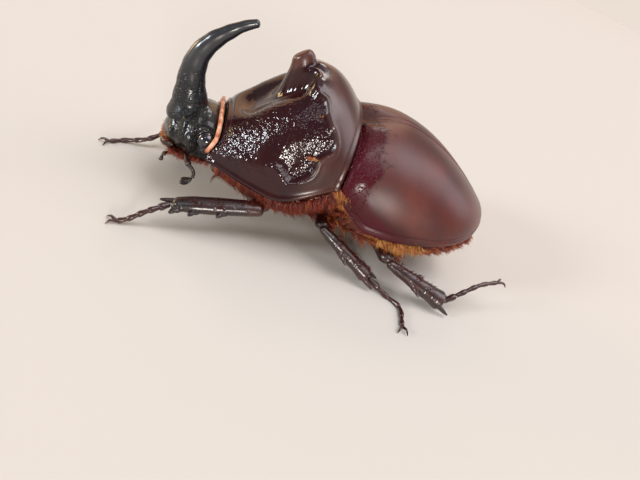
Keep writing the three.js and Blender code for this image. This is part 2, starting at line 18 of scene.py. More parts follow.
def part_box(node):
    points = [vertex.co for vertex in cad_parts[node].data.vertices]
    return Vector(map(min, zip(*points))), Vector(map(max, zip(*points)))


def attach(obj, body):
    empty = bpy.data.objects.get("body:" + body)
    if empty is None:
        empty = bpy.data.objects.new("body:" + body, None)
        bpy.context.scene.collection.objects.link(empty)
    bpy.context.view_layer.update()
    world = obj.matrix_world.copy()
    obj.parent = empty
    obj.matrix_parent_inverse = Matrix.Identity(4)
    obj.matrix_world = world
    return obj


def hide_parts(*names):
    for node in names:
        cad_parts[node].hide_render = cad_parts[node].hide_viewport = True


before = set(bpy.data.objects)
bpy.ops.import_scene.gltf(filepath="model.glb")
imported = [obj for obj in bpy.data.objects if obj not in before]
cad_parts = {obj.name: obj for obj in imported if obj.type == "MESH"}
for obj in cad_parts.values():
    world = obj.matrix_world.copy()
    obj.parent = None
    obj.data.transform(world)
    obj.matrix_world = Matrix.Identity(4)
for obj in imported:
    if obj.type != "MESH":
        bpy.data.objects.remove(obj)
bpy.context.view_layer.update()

# ---------------------------------------------------------------- underside plates
# The breast and belly are covered by hard plates of red-brown cuticle, keeled along the middle. Behind the
# hips the belly is a row of overlapping rings. The plates are joined by thin membranes in narrow seams.
MM = 0.001
PRONOTUM_LOW, PRONOTUM_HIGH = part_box("pronotum")
CORNER_X = -14.9  # the pronotum's front corners, from the datum
DATUM = Vector((PRONOTUM_LOW.x - CORNER_X * MM, (PRONOTUM_LOW.y + PRONOTUM_HIGH.y) / 2, 0))
DRIFT_MM = 5  # over which the colour of the cuticle drifts
# how far down its colours a place of painted shade is
PAINTED_SHADE_TONE = 0.45  # how far down its colours a shaded place is
PIT_FLOOR, PIT_RIM = 0.12, 0.4  # of the spacing of the punctures: how far out a puncture's floor and rim are
MERGE_MM = 0.0004


def mix(a, b, t):
    return a + (b - a) * t


def stack(x, y, z):
    """Places with the given coordinates, which are spread over one another's shape."""
    return np.stack(np.broadcast_arrays(x, y, z), -1)


def smooth(start, end, value):
    t = np.clip((value - start) / (end - start), 0, 1)
    return t * t * (3 - 2 * t)


def quarter(t):
    """A rise from 0 to 1 that levels off."""
    return np.sin(np.pi / 2 * np.clip(t, 0, 1))


def linear(hex_colour, alpha=1.0):
    """An sRGB hex colour as the linear one that shaders use."""
    channels = [int(hex_colour[i : i + 2], 16) / 255 for i in (1, 3, 5)]
    return (*(c / 12.92 if c <= 0.04045 else ((c + 0.055) / 1.055) ** 2.4 for c in channels), alpha)


def wire(tree, node, sockets):
    """Gives each named socket of a node a value, or another node's output."""
    for name, value in sockets.items():
        if isinstance(value, bpy.types.NodeSocket):
            tree.links.new(value, node.inputs[name])
        else:
            node.inputs[name].default_value = value


def add_node(tree, kind, sockets=None, stops=(), **settings):
    """Adds a node with its settings and its sockets' values and links. stops are a colour ramp's (place, hex
    colour) pairs."""
    made = tree.nodes.new(kind)
    for name, value in settings.items():
        setattr(made, name, value)
    wire(tree, made, sockets or {})
    for _ in stops[2:]:
        made.color_ramp.elements.new(0.5)
    for i, (place, colour) in enumerate(stops):
        made.color_ramp.elements[i].position = place
        made.color_ramp.elements[i].color = linear(colour)
    return made


def new_material(name):
    """A new material, with its node tree and its shader."""
    material = bpy.data.materials.new(name)
    material.use_nodes = True
    return material, material.node_tree, material.node_tree.nodes["Principled BSDF"]


def cuticle(name, colours, roughness, pit_mm, pit_depth, coat=1.0, coat_roughness=0.08, film_ior=1.36,
            shine=0.4, mask=None, shaded=None, shaded_finish=(0.3, 0.5)):
    """Beetle cuticle: layered chitin, dark and glossy like lacquer, under a thin waxy film. Its colour drifts
    over some millimetres, and it is dotted with punctures pit_mm apart and pit_depth mm deep. Real punctures
    are 0.1 to 0.3 mm apart, so the finest are drawn coarser, to show. Where a piece is punctured only in
    places, mask names the attribute that says where. shaded names one that says where the colour is painted
    darker, as shade, and where the piece has another finish: the roughness of the chitin, and how much film
    there is."""
    material, tree, shader = new_material(name)
    place = add_node(tree, "ShaderNodeTexCoord").outputs["Object"]
    drift = add_node(
        tree, "ShaderNodeTexNoise",
        {"Vector": place, "Scale": 1 / (DRIFT_MM * MM), "Detail": 5.0, "Roughness": 0.62},
    )
    tone = drift.outputs["Fac"]
    # painted shade: the colour is darker where the shaded attribute is high
    if shaded:
        shade = add_node(tree, "ShaderNodeAttribute", attribute_name=shaded).outputs["Fac"]
        darker = add_node(tree, "ShaderNodeMath", {0: shade, 1: PAINTED_SHADE_TONE}, operation="MULTIPLY")
        lower = add_node(tree, "ShaderNodeMath", {0: tone, 1: darker.outputs["Value"]}, operation="SUBTRACT")
        tone = lower.outputs["Value"]
    body = add_node(tree, "ShaderNodeValToRGB", {"Fac": tone}, stops=colours)
    wire(tree, shader, {
        "Base Color": body.outputs["Color"], "Roughness": roughness, "IOR": 1.5, "Specular IOR Level": shine,
        "Coat IOR": film_ior, "Coat Weight": coat, "Coat Roughness": coat_roughness,
    })
    if shaded:
        for socket, here, there in zip(("Roughness", "Coat Weight"), (roughness, coat), shaded_finish):
            finish = add_node(tree, "ShaderNodeMapRange", {"Value": shade, "To Min": here, "To Max": there})
            wire(tree, shader, {socket: finish.outputs["Result"]})
    pits = add_node(tree, "ShaderNodeTexVoronoi", {"Vector": place, "Scale": 1 / (pit_mm * MM)})
    sockets = {"Value": pits.outputs["Distance"], "From Min": PIT_FLOOR, "From Max": PIT_RIM}
    height = add_node(tree, "ShaderNodeMapRange", sockets).outputs["Result"]
    if mask:
        where = add_node(tree, "ShaderNodeAttribute", attribute_name=mask).outputs["Fac"]
        hollow = add_node(tree, "ShaderNodeMath", {0: 1.0, 1: height}, operation="SUBTRACT")
        sunk = add_node(tree, "ShaderNodeMath", {0: hollow.outputs["Value"], 1: where}, operation="MULTIPLY")
        kept = add_node(tree, "ShaderNodeMath", {0: 1.0, 1: sunk.outputs["Value"]}, operation="SUBTRACT")
        height = kept.outputs["Value"]
    bump = add_node(tree, "ShaderNodeBump", {"Height": height, "Distance": pit_depth * MM, "Strength": 1.0})
    wire(tree, shader, {"Normal": bump.outputs["Normal"], "Coat Normal": bump.outputs["Normal"]})
    return material


def placed(name, data):
    """Puts a new object with the given data into the scene."""
    made = bpy.data.objects.new(name, data)
    bpy.context.scene.collection.objects.link(made)
    return made


def finished(bm, name, material, node):
    """Brings a mesh drawn in millimetres into the frame as a smooth piece that stands for the CAD node."""
    bmesh.ops.remove_doubles(bm, verts=bm.verts, dist=MERGE_MM)
    bmesh.ops.recalc_face_normals(bm, faces=bm.faces)
    bmesh.ops.transform(bm, matrix=Matrix.Translation(DATUM) @ Matrix.Scale(MM, 4), verts=bm.verts)
    for face in bm.faces:
        face.smooth = True
    mesh = bpy.data.meshes.new(name)
    bm.to_mesh(mesh)
    bm.free()
    mesh.materials.append(material)
    piece = placed(name, mesh)
    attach(piece, "root")
    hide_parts(node)


def ellipsoid(centre, radii, around, rings):
    bm = bmesh.new()
    bmesh.ops.create_uvsphere(bm, u_segments=around, v_segments=rings, radius=1)
    place = Matrix.Translation(centre) @ Matrix.Diagonal((*radii, 1))
    bmesh.ops.transform(bm, matrix=place, verts=bm.verts)
    return bm


def shell(cells_along, cells_across, surface, depth, lip=(0.12, 0.12), down=-1):
    """A closed shell plate. surface(u, v) gives the places of the side that shows, and the marks that its
    material reads by name, for grids whose u runs 0 to 1 along the body and v -1 to 1 across it. The plate's
    edge is rounded: it turns `depth` down, and bulges by lip at its ends and at its sides."""
    bm = bmesh.new()
    bmesh.ops.create_grid(bm, x_segments=cells_along, y_segments=cells_across, size=1)
    # the grid's corners, in the order of u and then of v
    flat = np.array([v.co for v in bm.verts]).round(5)
    order = np.lexsort((flat[:, 1], flat[:, 0]))
    shares = np.linspace(0, 1, cells_along + 1), np.linspace(-1, 1, cells_across + 1)
    u, v = np.meshgrid(*shares, indexing="ij")
    places, marks = surface(u, v)
    marks = {**marks, "end": (u == 1) * 1.0 - (u == 0), "side": (v == 1) * 1.0 - (v == -1)}
    layers = {name: bm.verts.layers.float.new(name) for name in marks}
    bm.verts.ensure_lookup_table()
    places = places.reshape(-1, 3)
    marks = {name: values.reshape(-1) for name, values in marks.items()}
    for rank, index in enumerate(order):
        vert = bm.verts[index]
        vert.co = places[rank]
        for name, layer in layers.items():
            vert[layer] = marks[name][rank]
    edge = [e for e in bm.edges if e.is_boundary]
    reached = (0.0, 0.0)
    for turn in (0.25, 0.5, 0.75, 1.0):
        out, sunk = math.sin(math.pi * turn), (1 - math.cos(math.pi * turn)) / 2
        made = bmesh.ops.extrude_edge_only(bm, edges=edge)["geom"]
        for vert in (g for g in made if isinstance(g, bmesh.types.BMVert)):
            step = out - reached[0]
            outwards = (lip[0] * vert[layers["end"]] * step, lip[1] * vert[layers["side"]] * step)
            vert.co += Vector((*outwards, down * depth * (sunk - reached[1])))
        reached = (out, sunk)
        edge = [g for g in made if isinstance(g, bmesh.types.BMEdge) and g.is_boundary]
    made = bmesh.ops.extrude_edge_only(bm, edges=edge)["geom"]
    rim = [g for g in made if isinstance(g, bmesh.types.BMVert)]
    bmesh.ops.pointmerge(bm, verts=rim, merge_co=sum((g.co for g in rim), Vector()) / len(rim))
    return bm


# The outlines of the two big shields set the trunk's width, so their plans are drawn first.
PRONOTUM = dict(
    front_x=-13.5, base_x=0.0, corners_ahead=1.0, base_bow=1.0,
    front_half=5.4, widest_half=9.5, widest_at=0.7, hind_narrowing=1.1,
    margin_z=7.1, hind_rise=2.7, rises_from=0.5,
    front_z=10.7, crown_z=18.6, crown_at=0.66, base_drop=2.75, edge=0.5,
)
ELYTRA = dict(
    base_x=0.2, apex_x=19.95, base_bow=0.9,
    shoulder_half=8.7, widest_half=10.2, flare_x=-0.8, widest_x=7.0, apex_half=0.6,
    shoulder_z=8.9, lowest_z=6.65, falls=(-1, 3.5), tail_rise=1.95, rises=(5, 20),
    crown_z=15.95, crown_x=5.0, apex_drop=6.85, base_drop=0.9, base_dip=1.1, edge=0.45,
)
# The plates of the underside, between start and end. An edge lies in from the shield above it by inset and
# below its margin by drop, and the keel is above the belly's lowest line by a lift that goes from one value
# to another between two places.
PLATES = {
    "breast_plate_front": dict(
        node="prosternum", start=-13.6, end=-1.3, cells=60,
        inset=0.35, drop=0.25, lift=(1.1, 0.3), between=(-14, -9),
    ),
    "breast_plate_hind": dict(
        node="sternum", start=-1.25, end=9.4, cells=60,
        inset=0.5, drop=0.3, lift=(0.4, 0.0), between=(-1, 3),
    ),
    "belly_rings": dict(
        node="abdomen", start=9.45, end=18.8, cells=140,
        inset=0.4, drop=0.3, lift=(0.0, 2.2), between=(12, 20),
    ),
}
CELLS_ACROSS = 70
BELLY_Z, PLATE_EDGE, FULLNESS = 3.0, 0.5, 3.6
RING_START, RING_STEP, RING_SWELL, RING_DROP, DROP_FROM = 9.4, 1.9, 0.14, 0.16, 0.86
TAIL_PLATE = ((17.5, 0, 6.6), (2.1, 5.6, 2.2))  # centre and radii


def pronotum_half(u):
    p = PRONOTUM
    past = np.clip((u - p["widest_at"]) / (1 - p["widest_at"]), 0, 1)
    rise = quarter(u / p["widest_at"]) ** 1.1
    return mix(p["front_half"], p["widest_half"], rise) - p["hind_narrowing"] * past**2


def pronotum_margin(u):
    return PRONOTUM["margin_z"] + PRONOTUM["hind_rise"] * smooth(PRONOTUM["rises_from"], 1, u)


def pronotum_share(x):
    return np.clip((x - PRONOTUM["front_x"]) / (PRONOTUM["base_x"] - PRONOTUM["front_x"]), 0, 1)


def elytra_half(x):
    e = ELYTRA
    fore = quarter((x - e["flare_x"]) / (e["widest_x"] - e["flare_x"]))
    past = np.clip((x - e["widest_x"]) / (e["apex_x"] - e["widest_x"]), 0, 1)
    aft = mix(e["apex_half"], e["widest_half"], (1 - past**3.2) ** 0.75)
    return np.where(x < e["widest_x"], mix(e["shoulder_half"], e["widest_half"], fore), aft)


def elytra_margin(x):
    e = ELYTRA
    fore = mix(e["shoulder_z"], e["lowest_z"], smooth(*e["falls"], x))
    return fore + e["tail_rise"] * smooth(*e["rises"], x)


def belly_place(name, x, across):
    """A place on a plate of the underside, at a share across it from -1 to 1. Each ring of the belly swells
    gently and drops a step over the next one's edge."""
    plate = PLATES[name]
    keel = BELLY_Z + mix(*plate["lift"], smooth(*plate["between"], x))
    if name == "breast_plate_front":
        u = pronotum_share(x)
        half, top = pronotum_half(u), pronotum_margin(u)
    else:
        half, top = elytra_half(x), elytra_margin(x)
    if name == "belly_rings":
        place = ((x - RING_START) / RING_STEP) % 1
        keel = keel - RING_SWELL * np.sin(np.pi * place) + RING_DROP * smooth(DROP_FROM, 1, place)
    half, top = half - plate["inset"], top - plate["drop"]
    depth = mix(PLATE_EDGE, top - keel, 1 - np.abs(across) ** FULLNESS)
    return stack(x, across * half, top - depth)


belly_cuticle = cuticle(
    "belly_cuticle", ((0.3, "#3a160c"), (0.55, "#5a2412"), (0.75, "#703018")), 0.42, 0.34, 0.03,
    coat=0.6, coat_roughness=0.16,
)
for name, plate in PLATES.items():
    bm = shell(
        plate["cells"], CELLS_ACROSS,
        lambda u, v: (belly_place(name, mix(plate["start"], plate["end"], u), np.sin(np.pi / 2 * v)), {}),
        PLATE_EDGE, lip=(0.02, 0.1), down=1,
    )
    finished(bm, name, belly_cuticle, plate["node"])

# The last back plate of the belly, a smooth domed plate that closes the body below the wing cases' tips.
finished(ellipsoid(*TAIL_PLATE, 48, 30), "tail_plate", belly_cuticle, "pygidium")

# ---------------------------------------------------------------- pronotum
# The great shield over the forebody. Its front two thirds are hollowed out, wrinkled and bright, and end in
# a crest with three blunt teeth; behind the crest it is a smooth dark dome. A bead runs round its margin.
CREST = (  # the hollow's hind edge, in plan: x, and the distance off the midline
    (-8.75, 0), (-8.6, 0.55), (-8.0, 1.0), (-7.0, 1.25), (-6.3, 1.6), (-6.1, 2.2), (-6.4, 2.9), (-6.4, 3.7),
    (-5.9, 4.4), (-5.1, 4.75), (-4.75, 5.3), (-4.5, 5.9), (-3.9, 6.5), (-3.2, 7.0), (-2.85, 7.5),
    (-2.95, 7.95), (-3.6, 8.3), (-4.1, 8.6), (-4.15, 8.95), (-4.6, 9.18), (-5.6, 9.24), (-6.5, 9.12),
    (-7.1, 8.85), (-8.0, 8.35), (-9.2, 7.9), (-11.0, 7.0), (-13.5, 5.2),
)
HOLLOW = dict(
    depth=2.6, side_depth=0.4, reach=3.2,  # in the middle, at the sides, and how far out it stays deep
    wall=0.42, side_wall=0.3, wall_turns=(1.5, 5),  # how far its hind wall takes to drop, inside and outside
    top_starts=(-13.5, -10.8), side_starts=(-9.8, -7.2),  # where it sets in, along the body
    clear_of_margin=(0.25, 1.3),
)
ROUNDNESS = ((2.9, 2.2), (0.52, 0.62))  # of its cross section, from front to back
FLANK = (5.5, 8.5)  # off the midline, where the shield's top turns over into its side
POCKET = dict(depth=0.3, off=(7.2, 8.4), x=(-8.2, -6.6))  # at the hollow's lower hind corner
LIP_X = (-9.2, -7.8)
CREST_LIP = (-0.16, 0.2, 0.1)  # distance from the hollow's edge, half width and height, as BEAD and GROOVE
BEAD, GROOVE = (0.18, 0.15, 0.13), (0.55, 0.18, -0.06)
AHEAD_X = -30  # ahead of the whole beetle
KNOB = (-7.75, 0.0, 1.1, 0.95, 1.35)  # x, y, half length, half width, height
KNOB_LEAN = 0.35
LOBE = (-5.9, 3.4, 0.9, 1.2, 0.3)
RIDGE = (-6.6, 0.0, 2.0, 1.3, 0.55)
CALLUS = (-8.9, 7.9, 1.9, 0.75)  # x, y, half length and width of a smooth swelling that runs obliquely
CALLUS_TURN = 0.67
# the polish also marks where the colour is painted darker, as shade
SKIN = dict(  # where the wrinkles and punctures are, and the polish, which reaches further back
    in_hollow=(0.0, 0.4), front_x=(-6.2, -7.4), clear_of_margin=(0.35, 0.55), off=(2.2, 4.2), in_middle=0.1,
    polish_and_shade_x=(-4.0, -6.5), bare_knob=(0.1, 0.5), matt_knob=(0.1, 0.6), wrinkles_off=(3, 4.5),
)
COARSE, FINE = (0.025, 1.3), (0.006, 0.5)  # the wrinkles' height and size
GLITTER_MM, GLITTER_DEPTH = 0.2, 0.026  # real punctures are 0.15 mm apart here: drawn coarser, to show
GRAIN_MM = 0.9  # of the swells among the punctures


def bump_at(spec, x, y, blunt=1.0):
    """A hump that stands up steeply from its foot when it is blunt."""
    cx, cy, long, wide, height = spec
    return height * np.exp(-((((x - cx) / long) ** 2 + ((y - cy) / wide) ** 2) ** blunt))


def ridge(away, at, width, height):
    """A round ridge at a distance from a line, or a groove where its height is below 0."""
    return height * np.exp(-(((away - at) / width) ** 2))


def curve_through(points, steps=8):
    """A smooth line through points of any dimension, as an array of places on it."""
    p = np.array(points, dtype=float)
    p = np.vstack((2 * p[0] - p[1], p, 2 * p[-1] - p[-2]))
    t = np.arange(steps)[:, None] / steps
    spans = []
    for a, b, c, d in zip(p, p[1:], p[2:], p[3:]):
        k1, k2, k3 = (math.sqrt(max(1e-9, np.linalg.norm(g - h))) for g, h in ((b, a), (c, b), (d, c)))
        out = ((b - a) / k1 - (c - a) / (k1 + k2) + (c - b) / k2) * k2
        into = ((c - b) / k2 - (d - b) / (k2 + k3) + (d - c) / k3) * k2
        leaving, arriving = 2 * t**3 - 3 * t**2 + 1, 3 * t**2 - 2 * t**3
        spans.append(b * leaving + out * (t**3 - 2 * t**2 + t) + c * arriving + into * (t**3 - t**2))
    return np.vstack((*spans, p[-2]))


def inside_distance(places, line, closing):
    """Distances from places to a line in the plane, positive on the side that closing, the rest of a loop
    round that side, encloses."""
    flat = places.reshape(-1, 2)
    near = np.full(len(flat), np.inf)
    odd = np.zeros(len(flat), dtype=bool)
    loop = np.vstack((line, closing))
    for i, (a, b) in enumerate(zip(loop, np.roll(loop, -1, axis=0))):
        if i < len(line) - 1:
            run = b - a
            share = np.clip(((flat - a) @ run) / (run @ run), 0, 1)
            near = np.minimum(near, np.linalg.norm(flat - a - share[:, None] * run, axis=1))
        crosses = (a[1] > flat[:, 1]) != (b[1] > flat[:, 1])
        with np.errstate(divide="ignore", invalid="ignore"):
            at = a[0] + (flat[:, 1] - a[1]) * (b[0] - a[0]) / (b[1] - a[1])
        odd ^= crosses & (flat[:, 0] < at)
    return (np.where(odd, near, -near)).reshape(places.shape[:-1])


def rough(x, y, z, size, seed, octaves=3):
    """Smooth random relief, about -1 to 1, whose bumps are `size` across: crossed waves at many angles."""
    chance = np.random.default_rng(seed)
    total = np.zeros_like(x)
    waves = 12
    for octave in range(octaves):
        for _ in range(waves):
            way = chance.normal(size=3)
            way *= 2**octave * 2 * np.pi / size / np.linalg.norm(way)
            phase = chance.uniform(0, 7)
            total = total + np.sin(way[0] * x + way[1] * y + way[2] * z + phase) / waves**0.5 / 1.6**octave
    return total * 0.7


def pronotum_dome(u, v):
    """The shield without its hollow."""
    p = PRONOTUM
    across = 0.5 * v + 0.5 * np.sin(np.pi / 2 * v)
    front = p["front_x"] - p["corners_ahead"] * np.abs(across) ** 14
    x = mix(front, p["base_x"] - p["base_bow"] * across**2, u)
    y = across * pronotum_half(u)
    past = np.clip((u - p["crown_at"]) / (1 - p["crown_at"]), 0, 1)
    crown = p["front_z"] + (p["crown_z"] - p["front_z"]) * quarter(u / p["crown_at"]) ** 0.9
    crown = crown - p["base_drop"] * past**1.8
    behind = smooth(0, 0.4, u)
    flatter, fuller = (mix(*ends, behind) for ends in ROUNDNESS)
    dome = (1 - np.abs(across) ** flatter) ** fuller
    return stack(x, y, mix(pronotum_margin(u), crown, dome))


def run_lengths(places, axis):
    """Distances along a grid of places from its first row or column."""
    steps = np.linalg.norm(np.diff(places, axis=axis), axis=-1)
    return np.concatenate((np.zeros_like(np.take(steps, [0], axis)), np.cumsum(steps, axis)), axis)


def unit(vectors):
    return vectors / np.maximum(1e-9, np.linalg.norm(vectors, axis=-1, keepdims=True))


def normals_of(places):
    return unit(np.cross(np.gradient(places, axis=0), np.gradient(places, axis=1)))


def pronotum_surface(u, v):
    dome = pronotum_dome(u, v)
    x, y, z = np.moveaxis(dome, -1, 0)
    off = np.abs(y)
    fore, side = run_lengths(dome, 0), run_lengths(dome, 1)
    hind, side = fore[-1:] - fore, np.minimum(side, side[:, -1:] - side)
    # the hollow, drawn on the shield as it lies unrolled, so that its edge keeps its shape on the steep side
    unrolled = side[:, side.shape[1] // 2][:, None] - side
    line = curve_through(CREST)
    for point in line:
        nearest = np.unravel_index(np.argmin((x - point[0]) ** 2 + (y - point[1]) ** 2), x.shape)
        point[1] = unrolled[nearest]
    within = inside_distance(np.stack((x, unrolled), -1), line, [(AHEAD_X, line[-1, 1]), (AHEAD_X, 0)])
    flank = smooth(*FLANK, off)
    started = mix(smooth(*HOLLOW["top_starts"], x), smooth(*HOLLOW["side_starts"], x), flank)
    deep = mix(HOLLOW["side_depth"], HOLLOW["depth"], np.exp(-((off / HOLLOW["reach"]) ** 2.6)))
    wall = mix(HOLLOW["wall"], HOLLOW["side_wall"], smooth(*HOLLOW["wall_turns"], off))
    sunk = deep * started * smooth(*HOLLOW["clear_of_margin"], side)
    sunk = sunk * (1 - np.exp(-((np.maximum(0, within) / wall) ** 1.4)))
    pocket = POCKET["depth"] * smooth(0, 0.5, within) * smooth(*POCKET["off"], off) * smooth(*POCKET["x"], x)
    lip = ridge(within, *CREST_LIP) * smooth(*LIP_X, x)
    # what stands up from it: the knob with its lobes, the callus, and the bead along the margins
    knob = bump_at(KNOB, x, y, 3.0)
    lobes = knob + bump_at(LOBE, x, off) + bump_at(RIDGE, x, y)
    turned = ((x - CALLUS[0]) + 1j * (off - CALLUS[1])) * np.exp(-1j * CALLUS_TURN)
    callus = np.exp(-((turned.real / CALLUS[2]) ** 2) - (turned.imag / CALLUS[3]) ** 2)
    bead = sum(ridge(away, *BEAD) + ridge(away, *GROOVE) for away in (fore, hind, side))
    # the skin of the hollow and of the front is wrinkled and punctured, but for the knob and the callus
    skin = SKIN
    front = smooth(*skin["front_x"], x) * smooth(*skin["clear_of_margin"], side)
    wrinkled = np.maximum(smooth(*skin["in_hollow"], within), front) * (1 - callus)
    wrinkled = wrinkled * mix(skin["in_middle"], 1, smooth(*skin["off"], off))
    wrinkled = wrinkled * (1 - smooth(*skin["bare_knob"], knob))
    # the polished hollow and front, where the colour is also painted darker, as shade
    polish_and_shade = smooth(*skin["polish_and_shade_x"], x) * (1 - smooth(*skin["matt_knob"], knob))
    wrinkles = COARSE[0] * rough(x, y, z, COARSE[1], 11) + FINE[0] * rough(x, y, z, FINE[1], 12, 2)
    wrinkles = wrinkles * wrinkled * smooth(*skin["wrinkles_off"], off)
    facing = normals_of(dome)
    upwards = np.array((0, 0, 1.0))
    inwards = mix(upwards, facing, flank[..., None])
    places = dome - inwards * (sunk + pocket)[..., None] + upwards * lobes[..., None]
    places = places + facing * (lip + bead + wrinkles)[..., None]
    places[..., 0] -= KNOB_LEAN * smooth(0.4, 1, knob / KNOB[4])
    return places, {"wrinkled": wrinkled, "polish_and_shade": np.maximum(wrinkled, polish_and_shade)}


def pronotum_cuticle():
    """Satin black-brown chitin on the disc. In the hollow the same chitin is glossy, and so closely punctured
    that it breaks the light into many small glints over a faint wine-red. Where it is polished, in the hollow
    and on the front, its colour is also painted darker, as shade."""
    material = cuticle(
        "pronotum_cuticle", ((0.05, "#22060c"), (0.35, "#2d0c09"), (0.6, "#44190e"), (0.85, "#562413")),
        0.36, 0.5, 0.004, coat=0.8, coat_roughness=0.26, shine=0.42,
        shaded="polish_and_shade", shaded_finish=(0.08, 0.1),
    )
    tree = material.node_tree
    place = tree.nodes["Texture Coordinate"].outputs["Object"]
    wrinkled = add_node(tree, "ShaderNodeAttribute", attribute_name="wrinkled").outputs["Fac"]
    cells = add_node(tree, "ShaderNodeTexVoronoi", {"Vector": place, "Scale": 1 / (GLITTER_MM * MM)})
    grain = add_node(
        tree, "ShaderNodeTexNoise",
        {"Vector": place, "Scale": 1 / (GRAIN_MM * MM), "Detail": 1.0, "Roughness": 0.5},
    )
    cups = add_node(tree, "ShaderNodeMath", {0: cells.outputs["Distance"], 1: 2.0}, operation="POWER")
    relief = add_node(
        tree, "ShaderNodeMath", {0: cups.outputs["Value"], 1: grain.outputs["Fac"]}, operation="ADD"
    ).outputs["Value"]
    masked = add_node(tree, "ShaderNodeMath", {0: relief, 1: wrinkled}, operation="MULTIPLY").outputs["Value"]
    under = tree.nodes["Bump"].outputs["Normal"]
    rugose = add_node(
        tree, "ShaderNodeBump", {"Height": masked, "Distance": GLITTER_DEPTH * MM, "Normal": under}
    ).outputs["Normal"]
    wire(tree, tree.nodes["Principled BSDF"], {"Normal": rugose, "Coat Normal": rugose})
    return material


bm = shell(190, 230, pronotum_surface, PRONOTUM["edge"])
finished(bm, "pronotum_shell", pronotum_cuticle(), "pronotum")

# ---------------------------------------------------------------- neck membrane
# The soft skin between the head and the pronotum shows as a salmon band along the front margin. It is
# unhardened cuticle, satin and slightly see-through, and it bulges between its two attachments.
BAND_LEAD, BAND_CROWN, BAND_SINK = 0.4, 0.25, 0.15  # ahead of the margin, more so in the middle, and below it
BAND_REACH = (-0.985, -0.93, -0.8, -0.6, -0.3, 0, 0.3, 0.6, 0.8, 0.93, 0.985)
FOLD_MM, FOLD_DEPTH = 0.6, 0.04
NEARBY = 0.012  # of a line's length, over which its direction is read


def along(values):
    """A value that follows evenly spaced stations, as a function of the share of the way."""
    stations = np.array(values, dtype=float)

    def at(t):
        place = np.clip(t, 0, 1) * (len(stations) - 1)
        i = np.minimum(len(stations) - 2, np.floor(place).astype(int))
        return mix(stations[i], stations[i + 1], smooth(0, 1, place - i))

    return at


def line_of(points):
    """A smooth line through points, as a function of shares of its length."""
    places = curve_through(points, 24)
    reached = np.concatenate(([0], np.cumsum(np.linalg.norm(np.diff(places, axis=0), axis=1))))
    return lambda t: np.array([np.interp(np.clip(t, 0, 1) * reached[-1], reached, c) for c in places.T]).T


def ball_on(bm, around, rings):
    """Adds a ball: its vertices, with each one's share of the way down from the top, and its turn."""
    verts = bmesh.ops.create_uvsphere(bm, u_segments=around, v_segments=rings, radius=1)["verts"]
    places = np.array([v.co for v in verts])
    return verts, np.clip((1 - places[:, 2]) / 2, 0, 1), np.arctan2(places[:, 1], places[:, 0])


def rounded(t, ends):
    """How full a body is at shares of its way, when each end is rounded over the share `ends`."""
    inset = np.maximum(0, np.maximum(ends - t, t - (1 - ends))) / ends
    return np.sqrt(np.maximum(0, 1 - inset**2))


def limb(bm, points, wide, thick=None, flat=(0, 0, 1), around=20, rings=40, ends=0.1, relief=None):
    """Adds a closed rounded tube along a smooth line. wide and thick are its half sizes towards `flat` and
    across that, as functions of the share of the way, `ends` is the share of its length that each end is
    rounded over, and relief(t, turn) raises its surface."""
    line = line_of(points)
    verts, t, turn = ball_on(bm, around, rings)
    run = unit(line(t + NEARBY) - line(t - NEARBY))
    towards = np.array(flat, dtype=float)
    side = unit(towards - run * (run @ towards)[:, None])
    across = np.cross(run, side)
    fill = rounded(t, ends)
    lift = relief(t, turn) * fill if relief else 0
    broad, deep = wide(t) * fill + lift, (thick or wide)(t) * fill + lift
    places = line(t) + side * (np.cos(turn) * broad)[:, None] + across * (np.sin(turn) * deep)[:, None]
    for vert, place in zip(verts, places):
        vert.co = place


def front_margin(a):
    """A place on the pronotum's front margin, a of the way from the midline to the corner."""
    u, v = np.zeros((1, 1)), np.full((1, 1), float(a))
    return pronotum_dome(u, v)[0, 0]


def membrane():
    """Unhardened cuticle: a satin rubbery skin, salmon on its bulge and painted darker red-brown in its
    folds, as shade.
    """
    material, tree, shader = new_material("membrane")
    place = add_node(tree, "ShaderNodeTexCoord").outputs["Object"]
    folds = add_node(
        tree, "ShaderNodeTexNoise", {"Vector": place, "Scale": 1 / (FOLD_MM * MM), "Detail": 4.0}
    ).outputs["Fac"]
    # the tones follow the fold relief: painted shade in the folds, salmon on their crests
    tones = ((0.3, "#7d3a20"), (0.48, "#bd7856"), (0.7, "#dfb094"))
    skin = add_node(tree, "ShaderNodeValToRGB", {"Fac": folds}, stops=tones)
    wrinkles = add_node(tree, "ShaderNodeBump", {"Height": folds, "Distance": FOLD_DEPTH * MM})
    wire(tree, shader, {
        "Base Color": skin.outputs["Color"], "Roughness": 0.36, "Subsurface Weight": 0.2,
        "Subsurface Scale": 0.3 * MM, "Normal": wrinkles.outputs["Normal"],
    })
    return material


band = []
for a in BAND_REACH:
    lead = BAND_LEAD + BAND_CROWN * (1 - a * a)
    band.append(front_margin(a) - (lead, 0, BAND_SINK * (1 - abs(a) ** 8)))
band_half = along([0.22, 0.3, 0.36, 0.4, 0.44, 0.4, 0.36, 0.3, 0.22])
bm = bmesh.new()
limb(bm, band, along([0.24, 0.24]), band_half, flat=(1, 0, 0), around=18, rings=110, ends=0.02)
finished(bm, "neck_band", membrane(), "pronotum_rim")

# ---------------------------------------------------------------- wing cases
# Two hardened fore wings that meet along the back in a straight seam. Mahogany cuticle under a clear waxy
# film, finely punctured, with a groove beside the seam and a thin bead round the outer edge.
SIDES = {"left": -1, "right": 1}
SEAM_GAP = 0.04
SHOULDER = (1.35, 8.45, 0.9, 0.55, 0.28)  # as KNOB
EDGE_BEAD, EDGE_GROOVE = (0.1, 0.12, 0.07), (0.36, 0.13, -0.1)  # as CREST_LIP
SEAM_BEAD, SEAM_GROOVE, BASE_SLOPE = (0.2, 0.18, 0.05), (0.62, 0.15, -0.07), (0.0, 0.5, -0.35)


